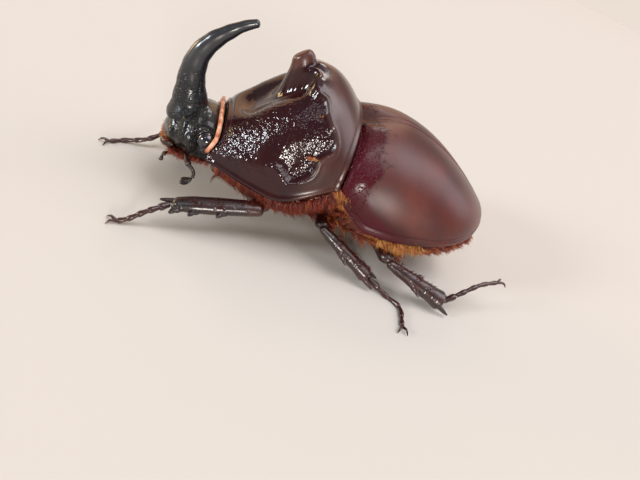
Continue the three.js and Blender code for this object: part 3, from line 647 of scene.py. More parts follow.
# the base, within ragged limits, is coarsely punctured and its colour is painted darker, as shade under the
# pronotum
PITTED_BASE_AND_SHADE = dict(ends=(3.5, 2.0), furthest_back=5.2, bow=0.05, ragged=((0.6, 1.5), (0.5, 0.5)))
# painted shade down the side behind the shoulder
PAINTED_SIDE_SHADE = dict(share=0.9, ends=(6.0, 3.6), slant=0.45)  # up from the outer edge, and less towards the tail


def elytra_top(x, y):
    e = ELYTRA
    behind = np.clip((x - e["crown_x"]) / (e["apex_x"] - e["crown_x"]), 0, 1)
    before = np.clip((e["crown_x"] - x) / (e["crown_x"] - e["base_x"]), 0, 1)
    crown = e["crown_z"] - e["apex_drop"] * behind**1.8 - e["base_drop"] * before**2
    across = np.clip(np.abs(y) / elytra_half(x), 0, 1)
    dip = smooth(7, 0, x) * ridge(y, 0, 1.6, e["base_dip"])
    dome = mix(elytra_margin(x), crown - dip, np.sqrt(1 - across**2.5))
    return dome + bump_at(SHOULDER, x, np.abs(y))


def wing_case(side):
    def surface(u, v):
        turn = np.pi / 4 * (side * v + 1)
        base = ELYTRA["base_x"] - ELYTRA["base_bow"] * np.sin(turn) ** 2
        x = mix(base, ELYTRA["apex_x"], np.sin(np.pi / 2 * u))
        y = mix(SEAM_GAP / 2, elytra_half(x), np.sin(turn))
        places = stack(x, side * y, elytra_top(x, y))
        across, fore = run_lengths(places, 1), run_lengths(places, 0)
        total = across[:, -1:]
        edge, seam = (total - across, across) if side > 0 else (across, total - across)
        raised = ridge(edge, *EDGE_BEAD) + ridge(edge, *EDGE_GROOVE)
        raised += ridge(seam, *SEAM_BEAD) + ridge(seam, *SEAM_GROOVE) + ridge(fore, *BASE_SLOPE)
        # the punctured base is also painted darker, as shade, and painted shade runs up from the outer edge
        # behind the shoulder
        (coarse, coarse_mm), (fine, fine_mm) = PITTED_BASE_AND_SHADE["ragged"]
        ragged = coarse * rough(x, y, 0 * x, coarse_mm, 5) + fine * rough(x, y, 0 * x, fine_mm, 6, 2)
        bowed = PITTED_BASE_AND_SHADE["bow"] * (y - PITTED_BASE_AND_SHADE["furthest_back"]) ** 2
        base_pits_and_shade = smooth(*PITTED_BASE_AND_SHADE["ends"], x + ragged + bowed)
        flank = PAINTED_SIDE_SHADE["share"] * smooth(*PAINTED_SIDE_SHADE["ends"], edge + PAINTED_SIDE_SHADE["slant"] * fore)
        marks = {"base": base_pits_and_shade, "painted_shade": np.maximum(base_pits_and_shade, flank)}
        return places + normals_of(places) * raised[..., None], marks

    return shell(170, 130, surface, ELYTRA["edge"], lip=(0.05, 0.05))


# Mahogany chitin with a satin film, so it takes a broad veil of light. Down the side behind the shoulder its
# colour is painted darker, as shade, and near the base, within ragged limits, it is coarsely punctured and
# painted darkest, as shade under the pronotum.
case_cuticle = cuticle(
    "elytron_cuticle", ((0.04, "#400915"), (0.3, "#360b08"), (0.5, "#48140d"), (0.75, "#5a2013")),
    0.5, 0.3, 0.06, coat_roughness=0.4, film_ior=1.42, shine=0.15,
    mask="base", shaded="painted_shade", shaded_finish=(0.18, 0.15),
)
for name, side in SIDES.items():
    finished(wing_case(side), f"wing_case_{name}", case_cuticle, f"elytron_{name}")

# ---------------------------------------------------------------- scutellum
# The small shield between the wing cases' bases, a punctured tongue of cuticle sunk level with them.
SCUTELLUM = dict(length=2.7, tucked=0.5, half=2.1, thickness=1.0, proud=0.14, rim=0.2)


def scutellum_surface(u, v):
    s = SCUTELLUM
    x = ELYTRA["base_x"] - s["tucked"] + (s["length"] + s["tucked"]) * u
    y = v * s["half"] * np.sqrt(np.maximum(0.02, 1 - 0.98 * u**2))
    return stack(x, y, elytra_top(x, y) + s["proud"] - s["rim"] * np.maximum(np.abs(v) ** 8, u**8)), {}


scutellum_cuticle = cuticle(
    "scutellum_cuticle", ((0.3, "#2a0a09"), (0.6, "#40140d"), (0.8, "#521d12")), 0.6, 0.3, 0.03, coat=0.0
)
bm = shell(40, 44, scutellum_surface, SCUTELLUM["thickness"], lip=(0.02, 0.02))
finished(bm, "scutellum_plate", scutellum_cuticle, "scutellum")

# ---------------------------------------------------------------- head
# A short wedge of black cuticle, coarsely punctured in front and polished behind. The front edge is a
# thin shelf, a ridge of cheek cuts into each eye, and the forehead swells up into the horn's foot.
HEAD = dict(tip_x=-19.6, neck_x=-12.9, widest_share=0.42, ends=0.06, front_share=0.15, front_lead=0.5)
EYE_LINE = (-14.9, -15.9)  # where the punctured forehead takes over from the polished neck
SHELF = (0.05, 0.05, 0.25)  # the front edge's turned-up shelf, as CREST_LIP
head_half = along([1.3, 2.5, 3.4, 4.15, 4.3, 4.2, 4.0])
head_top = along([7.4, 8.9, 9.7, 10.1, 10.2, 10.1, 9.9])
head_bottom = along([6.0, 5.6, 5.2, 4.9, 4.8, 4.9, 5.1])
EYE = dict(x=-14.95, y=3.95, z=8.1, radii=(0.98, 0.882, 0.98))
# swellings: centre, radii and height outwards, on either side
CHEEK = ((-16.6, 3.6, 7.3), (0.9, 1.0, 0.8), 0.5)
FRONT_CORNER = ((-18.3, 2.3, 7.2), (1.0, 0.9, 0.6), 0.3)
BROW = ((-15.6, 2.9, 9.6), (1.4, 0.8, 0.7), 0.15)
SOCKET = ((EYE["x"] - 0.1, EYE["y"], EYE["z"]), (1.2, 1.2, 1.25), -0.4)
FOREHEAD = ((-17.2, 0.0, 9.2), (1.9, 2.3, 2.2), 0.75)


def squarer(value):
    """A sine or cosine bent so that it draws a circle with fuller corners."""
    return np.sign(value) * np.abs(value) ** 0.85


bm = bmesh.new()
punctured = bm.verts.layers.float.new("punctured")
verts, t, turn = ball_on(bm, 128, 150)
up, out = np.cos(turn), np.sin(turn)
middle = mix(head_bottom(t), head_top(t), HEAD["widest_share"])
height = np.where(up > 0, head_top(t) - middle, middle - head_bottom(t)) * rounded(t, HEAD["ends"])
half = head_half(t) * rounded(t, HEAD["ends"])
places = stack(mix(HEAD["tip_x"], HEAD["neck_x"], t), squarer(out) * half, middle + squarer(up) * height)
mirrored = stack(places[:, 0], np.abs(places[:, 1]), places[:, 2])
raised = 0.03 * rough(*places.T, 0.9, 17) * smooth(*EYE_LINE, places[:, 0])
for centre, radii, amount in (CHEEK, FRONT_CORNER, BROW, SOCKET, FOREHEAD):
    raised = raised + amount * np.exp(-1.2 * (((mirrored - centre) / radii) ** 2).sum(1))
ahead = np.where(t < HEAD["front_share"], -HEAD["front_lead"], 0)
places = places + stack(ahead, out, up) * raised[:, None]
places[:, 2] += ridge(t, *SHELF) * smooth(-0.2, 0.5, up)
marks = smooth(*EYE_LINE, places[:, 0]) * smooth(0.1, 0.45, t)
for vert, place, mark in zip(verts, places, marks):
    vert.co = place
    vert[punctured] = mark
# where the front is punctured its colour is also painted darker, as shade
head_cuticle = cuticle(
    "head_cuticle", ((0.3, "#0a0808"), (0.6, "#120f10"), (0.85, "#1f1613")), 0.3, 0.24, 0.07,
    coat=0.8, coat_roughness=0.1, shine=0.2, mask="punctured", shaded="punctured", shaded_finish=(0.3, 0.65),
)
finished(bm, "head_capsule", head_cuticle, "head")

# ---------------------------------------------------------------- horn
# One curved horn of solid black cuticle that grows out of the forehead, rounder above than at its foot. It
# is punctured on its lower third, where its colour is painted darker, as shade, polished by wear above, and
# bluntly pointed.
HORN_LINE = (
    (-16.9, 0, 7.2), (-17.3, 0, 8.8), (-17.62, 0, 10.2), (-17.9, 0, 11.6), (-18.1, 0, 13.4),
    (-17.85, 0, 15.4), (-16.95, 0, 17.1), (-15.6, 0, 18.6), (-14.4, 0, 19.65), (-13.1, 0, 20.44),
)
horn_fore = along([1.5, 2.5, 1.85, 1.5, 1.3, 1.12, 0.95, 0.75, 0.55, 0.42])
horn_side = along([1.5, 2.4, 1.75, 1.35, 1.12, 0.95, 0.8, 0.66, 0.52, 0.44])
HORN_POLISH = (11.5, 15.5)  # heights between which the punctures fade out


def horn_relief(t, turn):
    """Growth wrinkles low on the horn."""
    swell = rough(t * 18, np.cos(turn) * 1.5, np.sin(turn) * 1.5, 1.6, 21, 2)
    return 0.025 * swell * (1 - smooth(0.1, 0.6, t))


bm = bmesh.new()
punctured = bm.verts.layers.float.new("punctured")
limb(bm, HORN_LINE, horn_fore, horn_side, (1, 0, 0.001), around=64, rings=150, ends=0.02, relief=horn_relief)
for vert in bm.verts:
    vert[punctured] = 1 - smooth(*HORN_POLISH, vert.co.z)
# the punctured lower third is also painted darker, as shade
horn_cuticle = cuticle(
    "horn_cuticle", ((0.3, "#101216"), (0.6, "#1a1c22"), (0.85, "#282528")), 0.42, 0.28, 0.06,
    coat_roughness=0.2, film_ior=1.55, shine=0.2,
    mask="punctured", shaded="punctured", shaded_finish=(0.36, 0.45),
)
finished(bm, "horn_solid", horn_cuticle, "horn")

# ---------------------------------------------------------------- eyes
# Compound eyes: near-spheres of many tiny lenses, too fine to see singly, so they shine as polished black
# beads set in sockets behind the cheeks.
FACET_MM = 0.06


def lenses():
    """Corneal lenses: clear hard cuticle over black pigment. The facets are 0.03 mm across, and are drawn
    twice as coarse, and faintly, to show."""
    material, tree, shader = new_material("eye_lenses")
    place = add_node(tree, "ShaderNodeTexCoord").outputs["Object"]
    facets = add_node(
        tree, "ShaderNodeTexVoronoi", {"Vector": place, "Scale": 1 / (FACET_MM * MM), "Randomness": 0.3}
    ).outputs["Distance"]
    pigment = add_node(
        tree, "ShaderNodeValToRGB", {"Fac": facets}, stops=((0.2, "#08070a"), (0.6, "#161620"))
    )
    mosaic = add_node(tree, "ShaderNodeBump", {"Height": facets, "Distance": 0.002 * MM})
    wire(tree, shader, {
        "Base Color": pigment.outputs["Color"], "Roughness": 0.16, "Coat Weight": 1.0, "Coat Roughness": 0.03,
        "Normal": mosaic.outputs["Normal"],
    })
    return material


eye_lenses = lenses()
for name, side in SIDES.items():
    bm = ellipsoid((EYE["x"], side * EYE["y"], EYE["z"]), EYE["radii"], 48, 32)
    finished(bm, f"compound_eye_{name}", eye_lenses, f"eye_{name}")

# ---------------------------------------------------------------- antennae
# Each feeler is a long first joint, a string of small bead joints, and a club of three leaves that close
# like pages. The stalk is glossy dark cuticle; the leaves are greyer and finely downy.
ANTENNAE = {
    "left": dict(
        stem=((-16.7, -3.6, 5.7), (-16.1, -4.7, 5.3), (-15.4, -5.5, 5.0), (-15.33, -5.84, 4.42)),
        club=((-15.35, -5.85, 4.4), (-15.7, -6.0, 4.1), (-16.5, -6.2, 3.9)),
    ),
    "right": dict(
        stem=((-16.7, 3.6, 5.7), (-16.1, 4.4, 5.4), (-15.5, 4.9, 5.1), (-15.3, 5.14, 4.56)),
        club=((-15.3, 5.15, 4.55), (-15.7, 5.2, 4.25), (-16.6, 5.2, 4.1)),
    ),
}
BEADS = 6
LEAF_FAN = 0.2
LEAF_WIDE, LEAF_THICK = along([0.16, 0.42, 0.46, 0.3]), along([0.12, 0.11, 0.1, 0.08])
stalk_cuticle = cuticle(
    "stalk_cuticle", ((0.3, "#1a0b08"), (0.6, "#2b130d"), (0.8, "#3d1c12")), 0.3, 0.3, 0.01
)
leaf_cuticle = cuticle(
    "leaf_cuticle", ((0.3, "#1b1514"), (0.6, "#2c2321"), (0.8, "#43332f")), 0.3, 0.12, 0.006, coat=0.8
)


def stalk_half(t):
    """A club-shaped first joint over half the stalk's length, then the beads."""
    first = mix(0.2, 0.33, smooth(0, 0.42, t)) * (1 - 0.45 * smooth(0.45, 0.5, t))
    return np.where(t < 0.5, first, 0.14 + 0.09 * np.abs(np.sin(np.pi * BEADS * (t - 0.5) / 0.5)))


for name, points in ANTENNAE.items():
    bm = bmesh.new()
    limb(bm, points["stem"], stalk_half, rings=110, ends=0.03)
    finished(bm, f"feeler_stalk_{name}", stalk_cuticle, f"antenna_stem_{name}")
    bm = bmesh.new()
    for leaf in (-1, 0, 1):
        lift = LEAF_FAN * leaf * np.array((0.3, 1, 1.3))
        fanned = np.array(points["club"]) + np.outer(lift, (0, 0, 1))
        limb(bm, fanned, LEAF_WIDE, LEAF_THICK, flat=(0.2, 1, 0), rings=28, ends=0.2)
    finished(bm, f"feeler_club_{name}", leaf_cuticle, f"antenna_club_{name}")

# ---------------------------------------------------------------- mouthparts
# Under the front edge sit the chin plate, the blunt jaws and a pair of jointed palps, dark brown and glossy,
# half hidden in a brush of orange bristles.
jaw_cuticle = cuticle("jaw_cuticle", ((0.3, "#1d0b07"), (0.6, "#34150d"), (0.8, "#4c2013")), 0.34, 0.26, 0.02)
bm = bmesh.new()
chin_line = (-18.7, 0, 4.7), (-17.2, 0, 4.2), (-15.4, 0, 3.8)
limb(bm, chin_line, along([0.75, 0.75]), along([1.1, 1.7, 1.5]), around=36, ends=0.2)
for side in SIDES.values():
    jaw_line = (-17.9, side * 1.5, 5.3), (-19.0, side * 1.35, 5.4), (-19.5, side * 0.7, 5.35)
    limb(bm, jaw_line, along([0.5, 0.55, 0.22]), along([0.7, 0.6, 0.2]), rings=24, ends=0.15)
finished(bm, "jaws_and_chin", jaw_cuticle, "mouthparts")


def palp_half(t):
    """Three joints, each swelling towards its far end."""
    return 0.13 + 0.14 * np.sin(np.pi * ((t * 3) % 1) ** 1.4)


for name, side in SIDES.items():
    bm = bmesh.new()
    palp_line = (-17.9, side * 1.5, 4.5), (-18.8, side * 2.1, 4.1), (-19.0, side * 2.3, 3.3)
    limb(bm, palp_line, palp_half, around=16, rings=60, ends=0.08)
    finished(bm, f"jointed_palp_{name}", jaw_cuticle, f"palp_{name}")

# ---------------------------------------------------------------- legs
# Six jointed legs of black to dark red cuticle. A round hip turns in the breast, a flattened thigh folds on
# it, and the shin widens to its tip, toothed for digging and armed with spurs. Five bead joints form the
# foot, which ends in two hooked claws.
SOLE, CLEARANCE = 0.24, 0.15  # the feet's middle line and the spurs' above the floor
LEGS = {
    "left_fore": dict(
        kind="fore", coxa=(-8.9, -2.9, 4.0), knee=(-7.5, -8.5, 4.8), tip=(-16.7, -9.1, 2.9),
        foot=((-17.2, -9.4, 2.7), (-19.0, -10.3, 1.9), (-20.5, -10.6, 0.7), (-21.4, -10.7, SOLE)),
    ),
    "left_middle": dict(
        kind="middle", coxa=(1.4, -2.8, 4.0), knee=(-1.0, -8.6, 4.7), tip=(5.9, -10.6, 1.2),
        foot=((6.5, -10.6, 0.8), (8.5, -12.0, SOLE), (9.9, -13.4, SOLE), (9.6, -16.4, SOLE)),
    ),
    "left_hind": dict(
        kind="hind", coxa=(7.8, -2.7, 3.9), knee=(7.2, -10.7, 3.9), tip=(15.3, -11.8, 1.2),
        foot=((16.0, -11.7, 1.3), (17.7, -10.9, 2.5), (20.0, -9.9, 3.6), (22.3, -9.2, 4.1)),
    ),
    "right_fore": dict(
        kind="fore", coxa=(-8.9, 2.9, 4.0), knee=(-9.4, 8.6, 4.8), tip=(-18.4, 6.9, 2.7),
        foot=((-18.9, 6.4, 2.3), (-21.2, 5.2, 1.1), (-23.7, 4.9, SOLE), (-25.1, 3.8, SOLE)),
    ),
    "right_middle": dict(
        kind="middle", coxa=(1.4, 2.8, 4.0), knee=(0.4, 9.5, 5.0), tip=(5.6, 14.3, 1.3),
        foot=((6.0, 14.7, 0.8), (8.2, 16.0, SOLE), (10.4, 16.9, SOLE), (12.6, 17.5, SOLE)),
    ),
    "right_hind": dict(
        kind="hind", coxa=(7.8, 2.7, 3.9), knee=(8.8, 10.4, 4.6), tip=(16.6, 13.0, 1.3),
        foot=((17.3, 13.2, 0.8), (19.6, 13.9, SOLE), (22.0, 14.4, SOLE), (24.0, 14.6, SOLE)),
    ),
}
# Half widths of thigh and shin, the shin's thickness, the way that its toothed edge faces on the right side,
# where its teeth stand and how long they are, and where its spurs stand across its tip.
LEG_KINDS = {
    "fore": dict(
        femur=(0.85, 1.15, 0.95), tibia=(0.85, 0.95, 1.0, 0.98, 0.75), flatness=0.8, edge=(-0.2, 1, -0.35),
        teeth=(0.46, 0.76, 0.96), tooth=0.65, spurs=(-0.6,),
    ),
    "middle": dict(
        femur=(0.85, 1.15, 0.85), tibia=(0.5, 0.7, 0.8, 0.85, 1.05), flatness=0.85, edge=(0.25, 1, -0.5),
        teeth=(0.52,), tooth=0.75, spurs=(0.85, -0.85),
    ),
    "hind": dict(
        femur=(1.0, 1.4, 1.0), tibia=(0.55, 0.75, 0.9, 1.05, 1.3), flatness=0.85, edge=(0.25, 1, -0.5),
        teeth=(0.52,), tooth=0.75, spurs=(0.85, -0.85),
    ),
}
HIP_RADII = (1.5, 2.2, 1.25)
THIGH_FLATNESS = 0.72
TOOTH_WIDE, TOOTH_THICK = along([0.85, 0.6, 0.3, 0.16]), along([0.6, 0.4, 0.22, 0.14])
SPUR_HALF, SPUR_LENGTH = along([0.36, 0.26, 0.13]), 1.25
FOOT_JOINTS, ROOT_JOINT_SWELL = 5, 1.15
CLAW_HALF, CLAW_LENGTH, CLAW_SPREAD = along([0.2, 0.16, 0.12, 0.05]), 1.15, 0.6
leg_cuticle = cuticle(
    "leg_cuticle", ((0.3, "#120909"), (0.5, "#260f0d"), (0.75, "#431810")), 0.36, 0.5, 0.025,
    coat_roughness=0.2,
)
foot_cuticle = cuticle(
    "foot_cuticle", ((0.3, "#210c08"), (0.6, "#361510"), (0.85, "#4d1f14")), 0.3, 0.4, 0.01
)


def cut_at_floor(bm):
    """Flattens what would reach below the floor, so that a foot stands on small flats."""
    for vert in bm.verts:
        vert.co.z = max(0.0, vert.co.z)


def hip(leg, name):
    bm = ellipsoid(leg["coxa"], HIP_RADII, 32, 20)
    finished(bm, f"hip_{name}", belly_cuticle, f"coxa_{name}")


def thigh(leg, name):
    hip_at, knee = Vector(leg["coxa"]), Vector(leg["knee"])
    line = hip_at.lerp(knee, 0.12), hip_at.lerp(knee, 0.55), knee
    wide = along(LEG_KINDS[leg["kind"]]["femur"])
    bm = bmesh.new()
    limb(bm, line, wide, lambda t: wide(t) * THIGH_FLATNESS, flat=(1, 0, 0.3), around=32, rings=50, ends=0.16)
    finished(bm, f"thigh_{name}", leg_cuticle, f"femur_{name}")


def shin(leg, name):
    kind = LEG_KINDS[leg["kind"]]
    knee, tip = Vector(leg["knee"]), Vector(leg["tip"])
    run = (tip - knee).normalized()
    flat = Vector(kind["edge"])
    flat.y = math.copysign(flat.y, knee.y)
    edge = (flat - run * flat.dot(run)).normalized()
    wide = along(kind["tibia"])
    line = knee, knee.lerp(tip, 0.5), tip
    bm = bmesh.new()
    limb(bm, line, wide, lambda t: wide(t) * kind["flatness"], flat=edge, around=32, rings=80, ends=0.06)
    for at in kind["teeth"]:  # each stands in the shin, leans down it and curls a little
        root = knee.lerp(tip, at) + edge * wide(at) * 0.35 - run * 0.3
        point = knee.lerp(tip, at) + edge * (wide(at) + kind["tooth"] * 0.75) + run * kind["tooth"]
        bent = root.lerp(point, 0.55) - run * 0.08
        limb(bm, (root, bent, point), TOOTH_WIDE, TOOTH_THICK, flat=run, around=14, rings=20, ends=0.08)
    for spur in kind["spurs"]:  # each stands inside the tip and spreads a little
        offset = spur * wide(1)
        root = tip + edge * offset * 0.7 - run * 0.5
        point = tip + edge * offset * 1.05 + run * SPUR_LENGTH
        point.z = max(point.z, CLEARANCE)
        limb(bm, (root, root.lerp(point, 0.6), point), SPUR_HALF, around=12, rings=18, ends=0.08)
    cut_at_floor(bm)
    finished(bm, f"shin_{name}", leg_cuticle, f"tibia_{name}")


def foot(leg, name):
    """Five joints, each narrow at its root and flared at its far end."""
    line = line_of((Vector(leg["tip"]).lerp(leg["foot"][0], 0.3), *leg["foot"][1:]))
    bm = bmesh.new()
    for joint in range(FOOT_JOINTS):
        start, end = joint / FOOT_JOINTS, (joint + 1) / FOOT_JOINTS
        size = mix(0.36, 0.29, (start + end) / 2) * (ROOT_JOINT_SWELL if joint == 0 else 1)
        stations = [line(mix(start, end + 0.03, share)) for share in (0, 0.4, 0.8, 1)]
        limb(bm, stations, along([size * 0.74, size * 0.8, size, size * 0.9]), around=16, rings=18, ends=0.14)
    cut_at_floor(bm)
    finished(bm, f"foot_{name}", foot_cuticle, f"tarsus_{name}")


def claw_pair(leg, name):
    end, before = Vector(leg["foot"][-1]), Vector(leg["foot"][-2])
    run = (end - before).normalized()
    across = Vector((-run.y, run.x, 0)).normalized()
    bm = bmesh.new()
    for way in (-1, 1):
        reach = run * CLAW_LENGTH + across * way * CLAW_SPREAD
        middle, point = end + reach * 0.6, end + reach
        middle.z = end.z + 0.2
        point.z = max(0.12, end.z - 0.25)
        limb(bm, (end + run * 0.02, middle, point), CLAW_HALF, around=14, rings=26, ends=0.08)
    cut_at_floor(bm)
    finished(bm, f"claw_pair_{name}", foot_cuticle, f"claws_{name}")


for name, leg in LEGS.items():
    for build in (hip, thigh, shin, foot, claw_pair):
        build(leg, name)

# ---------------------------------------------------------------- bristles
# Orange-red hairs fringe the shields, clothe the breast, flanks and throat, and brush the mouth. They are
# springy tapered bristles of clear brown cuticle, rooted in sockets and lying back towards the tail.
STRAND_RADIUS = 0.034  # real bristles are about half as thick: drawn coarser, to show
STRAND_TAPER = (1.0, 0.85, 0.5)  # of its radius at its three rings, before its tip
STRAND_SHARES = (0, 0.34, 0.68, 1.0)  # where along it its rings and its tip are
THIRDS = (0, 2.094, 4.189)  # of a turn
STRAND_LENGTHS = (0.7, 1.05)  # of its tuft's
ROOT_DEPTH, LOWEST = 0.06, 0.05  # in the skin, and above the floor
LIE_BACK = 0.7
TUFT_STRANDS = 6
TUFT_PATCH = 0.003  # the size of a tuft on the coat's own map
TONE_DRIFT = 0.06
# A strand's corners are three rings of three, and its tip.
STRAND_FACES = [(2, 1, 0)]
NEXT = ((0, 1), (1, 2), (2, 0))
STRAND_FACES += [(at + i, at + j, at + 3 + j, at + 3 + i) for at in (0, 3) for i, j in NEXT]
STRAND_FACES += [(6 + i, 6 + j, 9) for i, j in NEXT]


def bristle_cuticle():
    """Clear brown chitin, so each hair glows orange where light reaches it, and is dark red in the shade of
    the others. The tone of each hair is its own."""
    material, tree, shader = new_material("bristle_cuticle")
    tone = add_node(tree, "ShaderNodeAttribute", attribute_name="tone").outputs["Fac"]
    colour = add_node(
        tree, "ShaderNodeValToRGB", {"Fac": tone},
        stops=((0.0, "#330a04"), (0.3, "#661a0a"), (0.55, "#8c3416"), (0.8, "#b06c33"), (1.0, "#d09a55")),
    )
    wire(tree, shader, {"Base Color": colour.outputs["Color"], "Roughness": 0.34})
    return material


bristles = bristle_cuticle()


def each(values):
    """The values of the tufts, for each of their bristles."""
    return np.repeat(values, TUFT_STRANDS, axis=0)


def coat(name, seed, tufts, skin, length, rise=0.55, droop=0.25, spread=0.22, tone=(0.3, 0.6), gather=0.5,
         spacing=0.1):
    """Grows tufts of bristles as one joined mesh. skin(a, b) gives roots, the way out of the skin and the way
    the coat lies, for shares 0 to 1 over a patch of skin. length is the range in mm; each bristle leaves at
    `rise` between the lie and straight out, sinks by droop, and its tuft gathers towards one tip."""
    chance = np.random.default_rng(seed)
    a, b = chance.uniform(0, 1, tufts), chance.uniform(0, 1, tufts)
    root, out, lie = (np.broadcast_to(part, (tufts, 3)) for part in skin(a, b))
    out, lie = unit(out), unit(lie)
    lead = unit(mix(lie, out, rise) + chance.normal(0, spread, (tufts, 3)))
    last = unit(lead + lie * LIE_BACK + np.array((0, 0, -droop)) * 2)
    size = chance.uniform(*length, tufts)
    shade = chance.uniform(*tone, tufts)
    n = tufts * TUFT_STRANDS
    off = chance.normal(0, spacing, (n, 3))
    off -= each(out) * (off * each(out)).sum(1, keepdims=True)
    start = each(root) + off - each(out) * ROOT_DEPTH
    long = each(size) * chance.uniform(*STRAND_LENGTHS, n)
    first = unit(each(lead) + chance.normal(0, spread * 0.5, (n, 3)))
    then = unit(each(last) + chance.normal(0, spread * 0.5, (n, 3)))
    share = np.array(STRAND_SHARES)[None, :, None]
    bend = long[:, None, None] * (first[:, None] * share + 0.5 * share**2 * (then - first)[:, None])
    spine = start[:, None] + bend - off[:, None] * gather * share
    spine[..., 2] = np.maximum(spine[..., 2], LOWEST)
    side = unit(np.cross(first, chance.normal(size=(n, 3))))
    other = np.cross(first, side)
    verts = []
    for station, fill in enumerate(STRAND_TAPER):
        for turn in THIRDS:
            edge = side * math.cos(turn) + other * math.sin(turn)
            verts.append(spine[:, station] + edge * STRAND_RADIUS * fill)
    verts = np.stack((*verts, spine[:, 3]), 1)
    faces = [[base + corner for corner in face] for face in STRAND_FACES for base in range(0, 10 * n, 10)]
    mesh = bpy.data.meshes.new(name)
    mesh.from_pydata((verts.reshape(-1, 3) * MM + np.array(DATUM)).tolist(), [], faces)
    drift = chance.normal(0, TONE_DRIFT, (n, 1)) + np.linspace(-TONE_DRIFT, 0.1, 10)
    tones = np.clip(each(shade)[:, None] + drift, 0, 1)
    tones = tones.reshape(-1).astype(np.float32)
    mesh.attributes.new("tone", "FLOAT", "POINT").data.foreach_set("value", tones)
    # each tuft is a small patch at its root's place on the unrolled skin
    centre = np.stack((a, b), 1) * (1 - 2 * TUFT_PATCH) + TUFT_PATCH
    slot = (np.tile(np.arange(TUFT_STRANDS), tufts) + 0.5) / TUFT_STRANDS - 0.5
    height = np.repeat((-0.5, -0.17, 0.17, 0.5), (3, 3, 3, 1))
    width = np.array([-0.4, 0, 0.4] * 3 + [0]) / TUFT_STRANDS
    spot = np.stack(np.broadcast_arrays(slot[:, None] + width, height), -1) * TUFT_PATCH
    spot = (each(centre)[:, None] + spot).reshape(-1, 2)
    corners = np.empty(len(mesh.loops), dtype=np.int32)
    mesh.loops.foreach_get("vertex_index", corners)
    mesh.uv_layers.new(name="OFBake").data.foreach_set("uv", spot[corners].reshape(-1).astype(np.float32))
    mesh.polygons.foreach_set("use_smooth", [True] * len(mesh.polygons))
    mesh.materials.append(bristles)
    piece = placed(name, mesh)
    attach(piece, "root")


def flank(plate, start, end, side, low, a, b):
    """Skin on a side of the trunk: a runs from start to end, and b from `low` across the plate to its
    edge."""
    x, across = mix(start, end, a), side * mix(low, 1.0, b)
    rise = belly_place(plate, x, across + side * 0.01) - belly_place(plate, x, across - side * 0.01)
    return belly_place(plate, x, across), np.cross(rise, (-side, 0, 0)), (0.8, side * 0.25, -0.35)


def under_margin(side, a, b):
    """Skin below the pronotum's side margin."""
    u = mix(0.0, 0.985, a)
    x = mix(PRONOTUM["front_x"], PRONOTUM["base_x"], u)
    y = side * (pronotum_half(u) - mix(0.2, 0.55, b))
    z = pronotum_margin(u) - mix(0.35, 0.7, b)
    return stack(x, y, z), stack(0, side * 0.75, -0.65), (0.45, side * 0.1, -0.9)


for name, side in SIDES.items():
    breast = partial(flank, "breast_plate_front", -13.3, -1.3, side, 0.35)
    waist = partial(flank, "breast_plate_hind", -1.2, 9.4, side, 0.4)
    tail = partial(flank, "belly_rings", 9.4, 17.5, side, 0.6)
    margin = partial(under_margin, side)
    coat(f"fringe_{name}", 31 + side, 620, margin, (0.9, 1.9), rise=0.5, tone=(0.05, 0.55))
    coat(f"breast_hair_{name}", 41 + side, 900, breast, (1.1, 2.2), rise=0.45, tone=(0.0, 0.4))
    coat(f"waist_hair_{name}", 51 + side, 900, waist, (1.5, 3.0), rise=0.6, spread=0.32, tone=(0.1, 0.8))
    coat(f"belly_hair_{name}", 61 + side, 600, tail, (0.6, 1.3), rise=0.3, droop=0.1, tone=(0.25, 0.75))


def hind_corner(side, a, b):
    """Skin in the notch between the pronotum's hind corner and the wing case's shoulder."""
    places = stack(mix(-1.6, 0.6, a), side * 8.35, mix(8.2, 9.6, b))
    return places, (0.1, side, -0.1), (0.5, side * 0.3, -0.7)


def gold_tuft(side, a, b):
    """Skin above the hind leg's hip, where the palest hair stands."""
    x = mix(5.0, 10.4, 0.5 + 4 * (a - 0.5) ** 3)
    y = side * (elytra_half(x) - 0.5)
    z = elytra_margin(x) - mix(0.6, 1.4, b)
    return stack(x, y, z), (0, side, -0.3), (0.5, side * 0.5, -0.6)


for name, side in SIDES.items():
    corner, gold = partial(hind_corner, side), partial(gold_tuft, side)
    coat(f"corner_hair_{name}", 71 + side, 260, corner, (0.7, 1.5), rise=0.5, tone=(0.5, 0.95))
    coat(f"gold_hair_{name}", 81 + side, 240, gold, (0.6, 1.5), rise=0.3, spread=0.35, tone=(0.55, 1.0))


def throat(a, b):
    """Skin under the head, and under the neck behind it."""
    x = mix(-18.3, -13.2, a)
    y = mix(-3.9, 3.9, b) * np.minimum(1, (x + 20.2) / 2.5)
    return stack(x, y, 5.0 + 0.045 * y**2), stack(-0.1, y * 0.22, -1), stack(-0.35, y * 0.1, -0.6)


def mouth(a, b):
    """Skin along the front edge of the head, above and below the jaws."""
    y = mix(-1.9, 1.9, b)
    return stack(-19.3 + 0.16 * y**2, y, mix(5.0, 6.6, a)), stack(-1, y * 0.25, 0), (-0.8, 0, 0.15)


coat("throat_hair", 91, 520, throat, (0.5, 1.2), rise=0.5, droop=0.05, spread=0.4, tone=(0.1, 0.6))
coat("mouth_brush", 92, 170, mouth, (0.3, 0.8), rise=0.5, droop=0.0, spread=0.5, tone=(0.45, 0.9))


def scutellum_tuft(a, b):
    """Skin along the scutellum's base."""
    x, y = mix(-0.2, 0.5, a), mix(-1.7, 1.7, b)
    return stack(x, y, elytra_top(x, y) + 0.05), (0, 0, 1), (1, 0, 0.1)


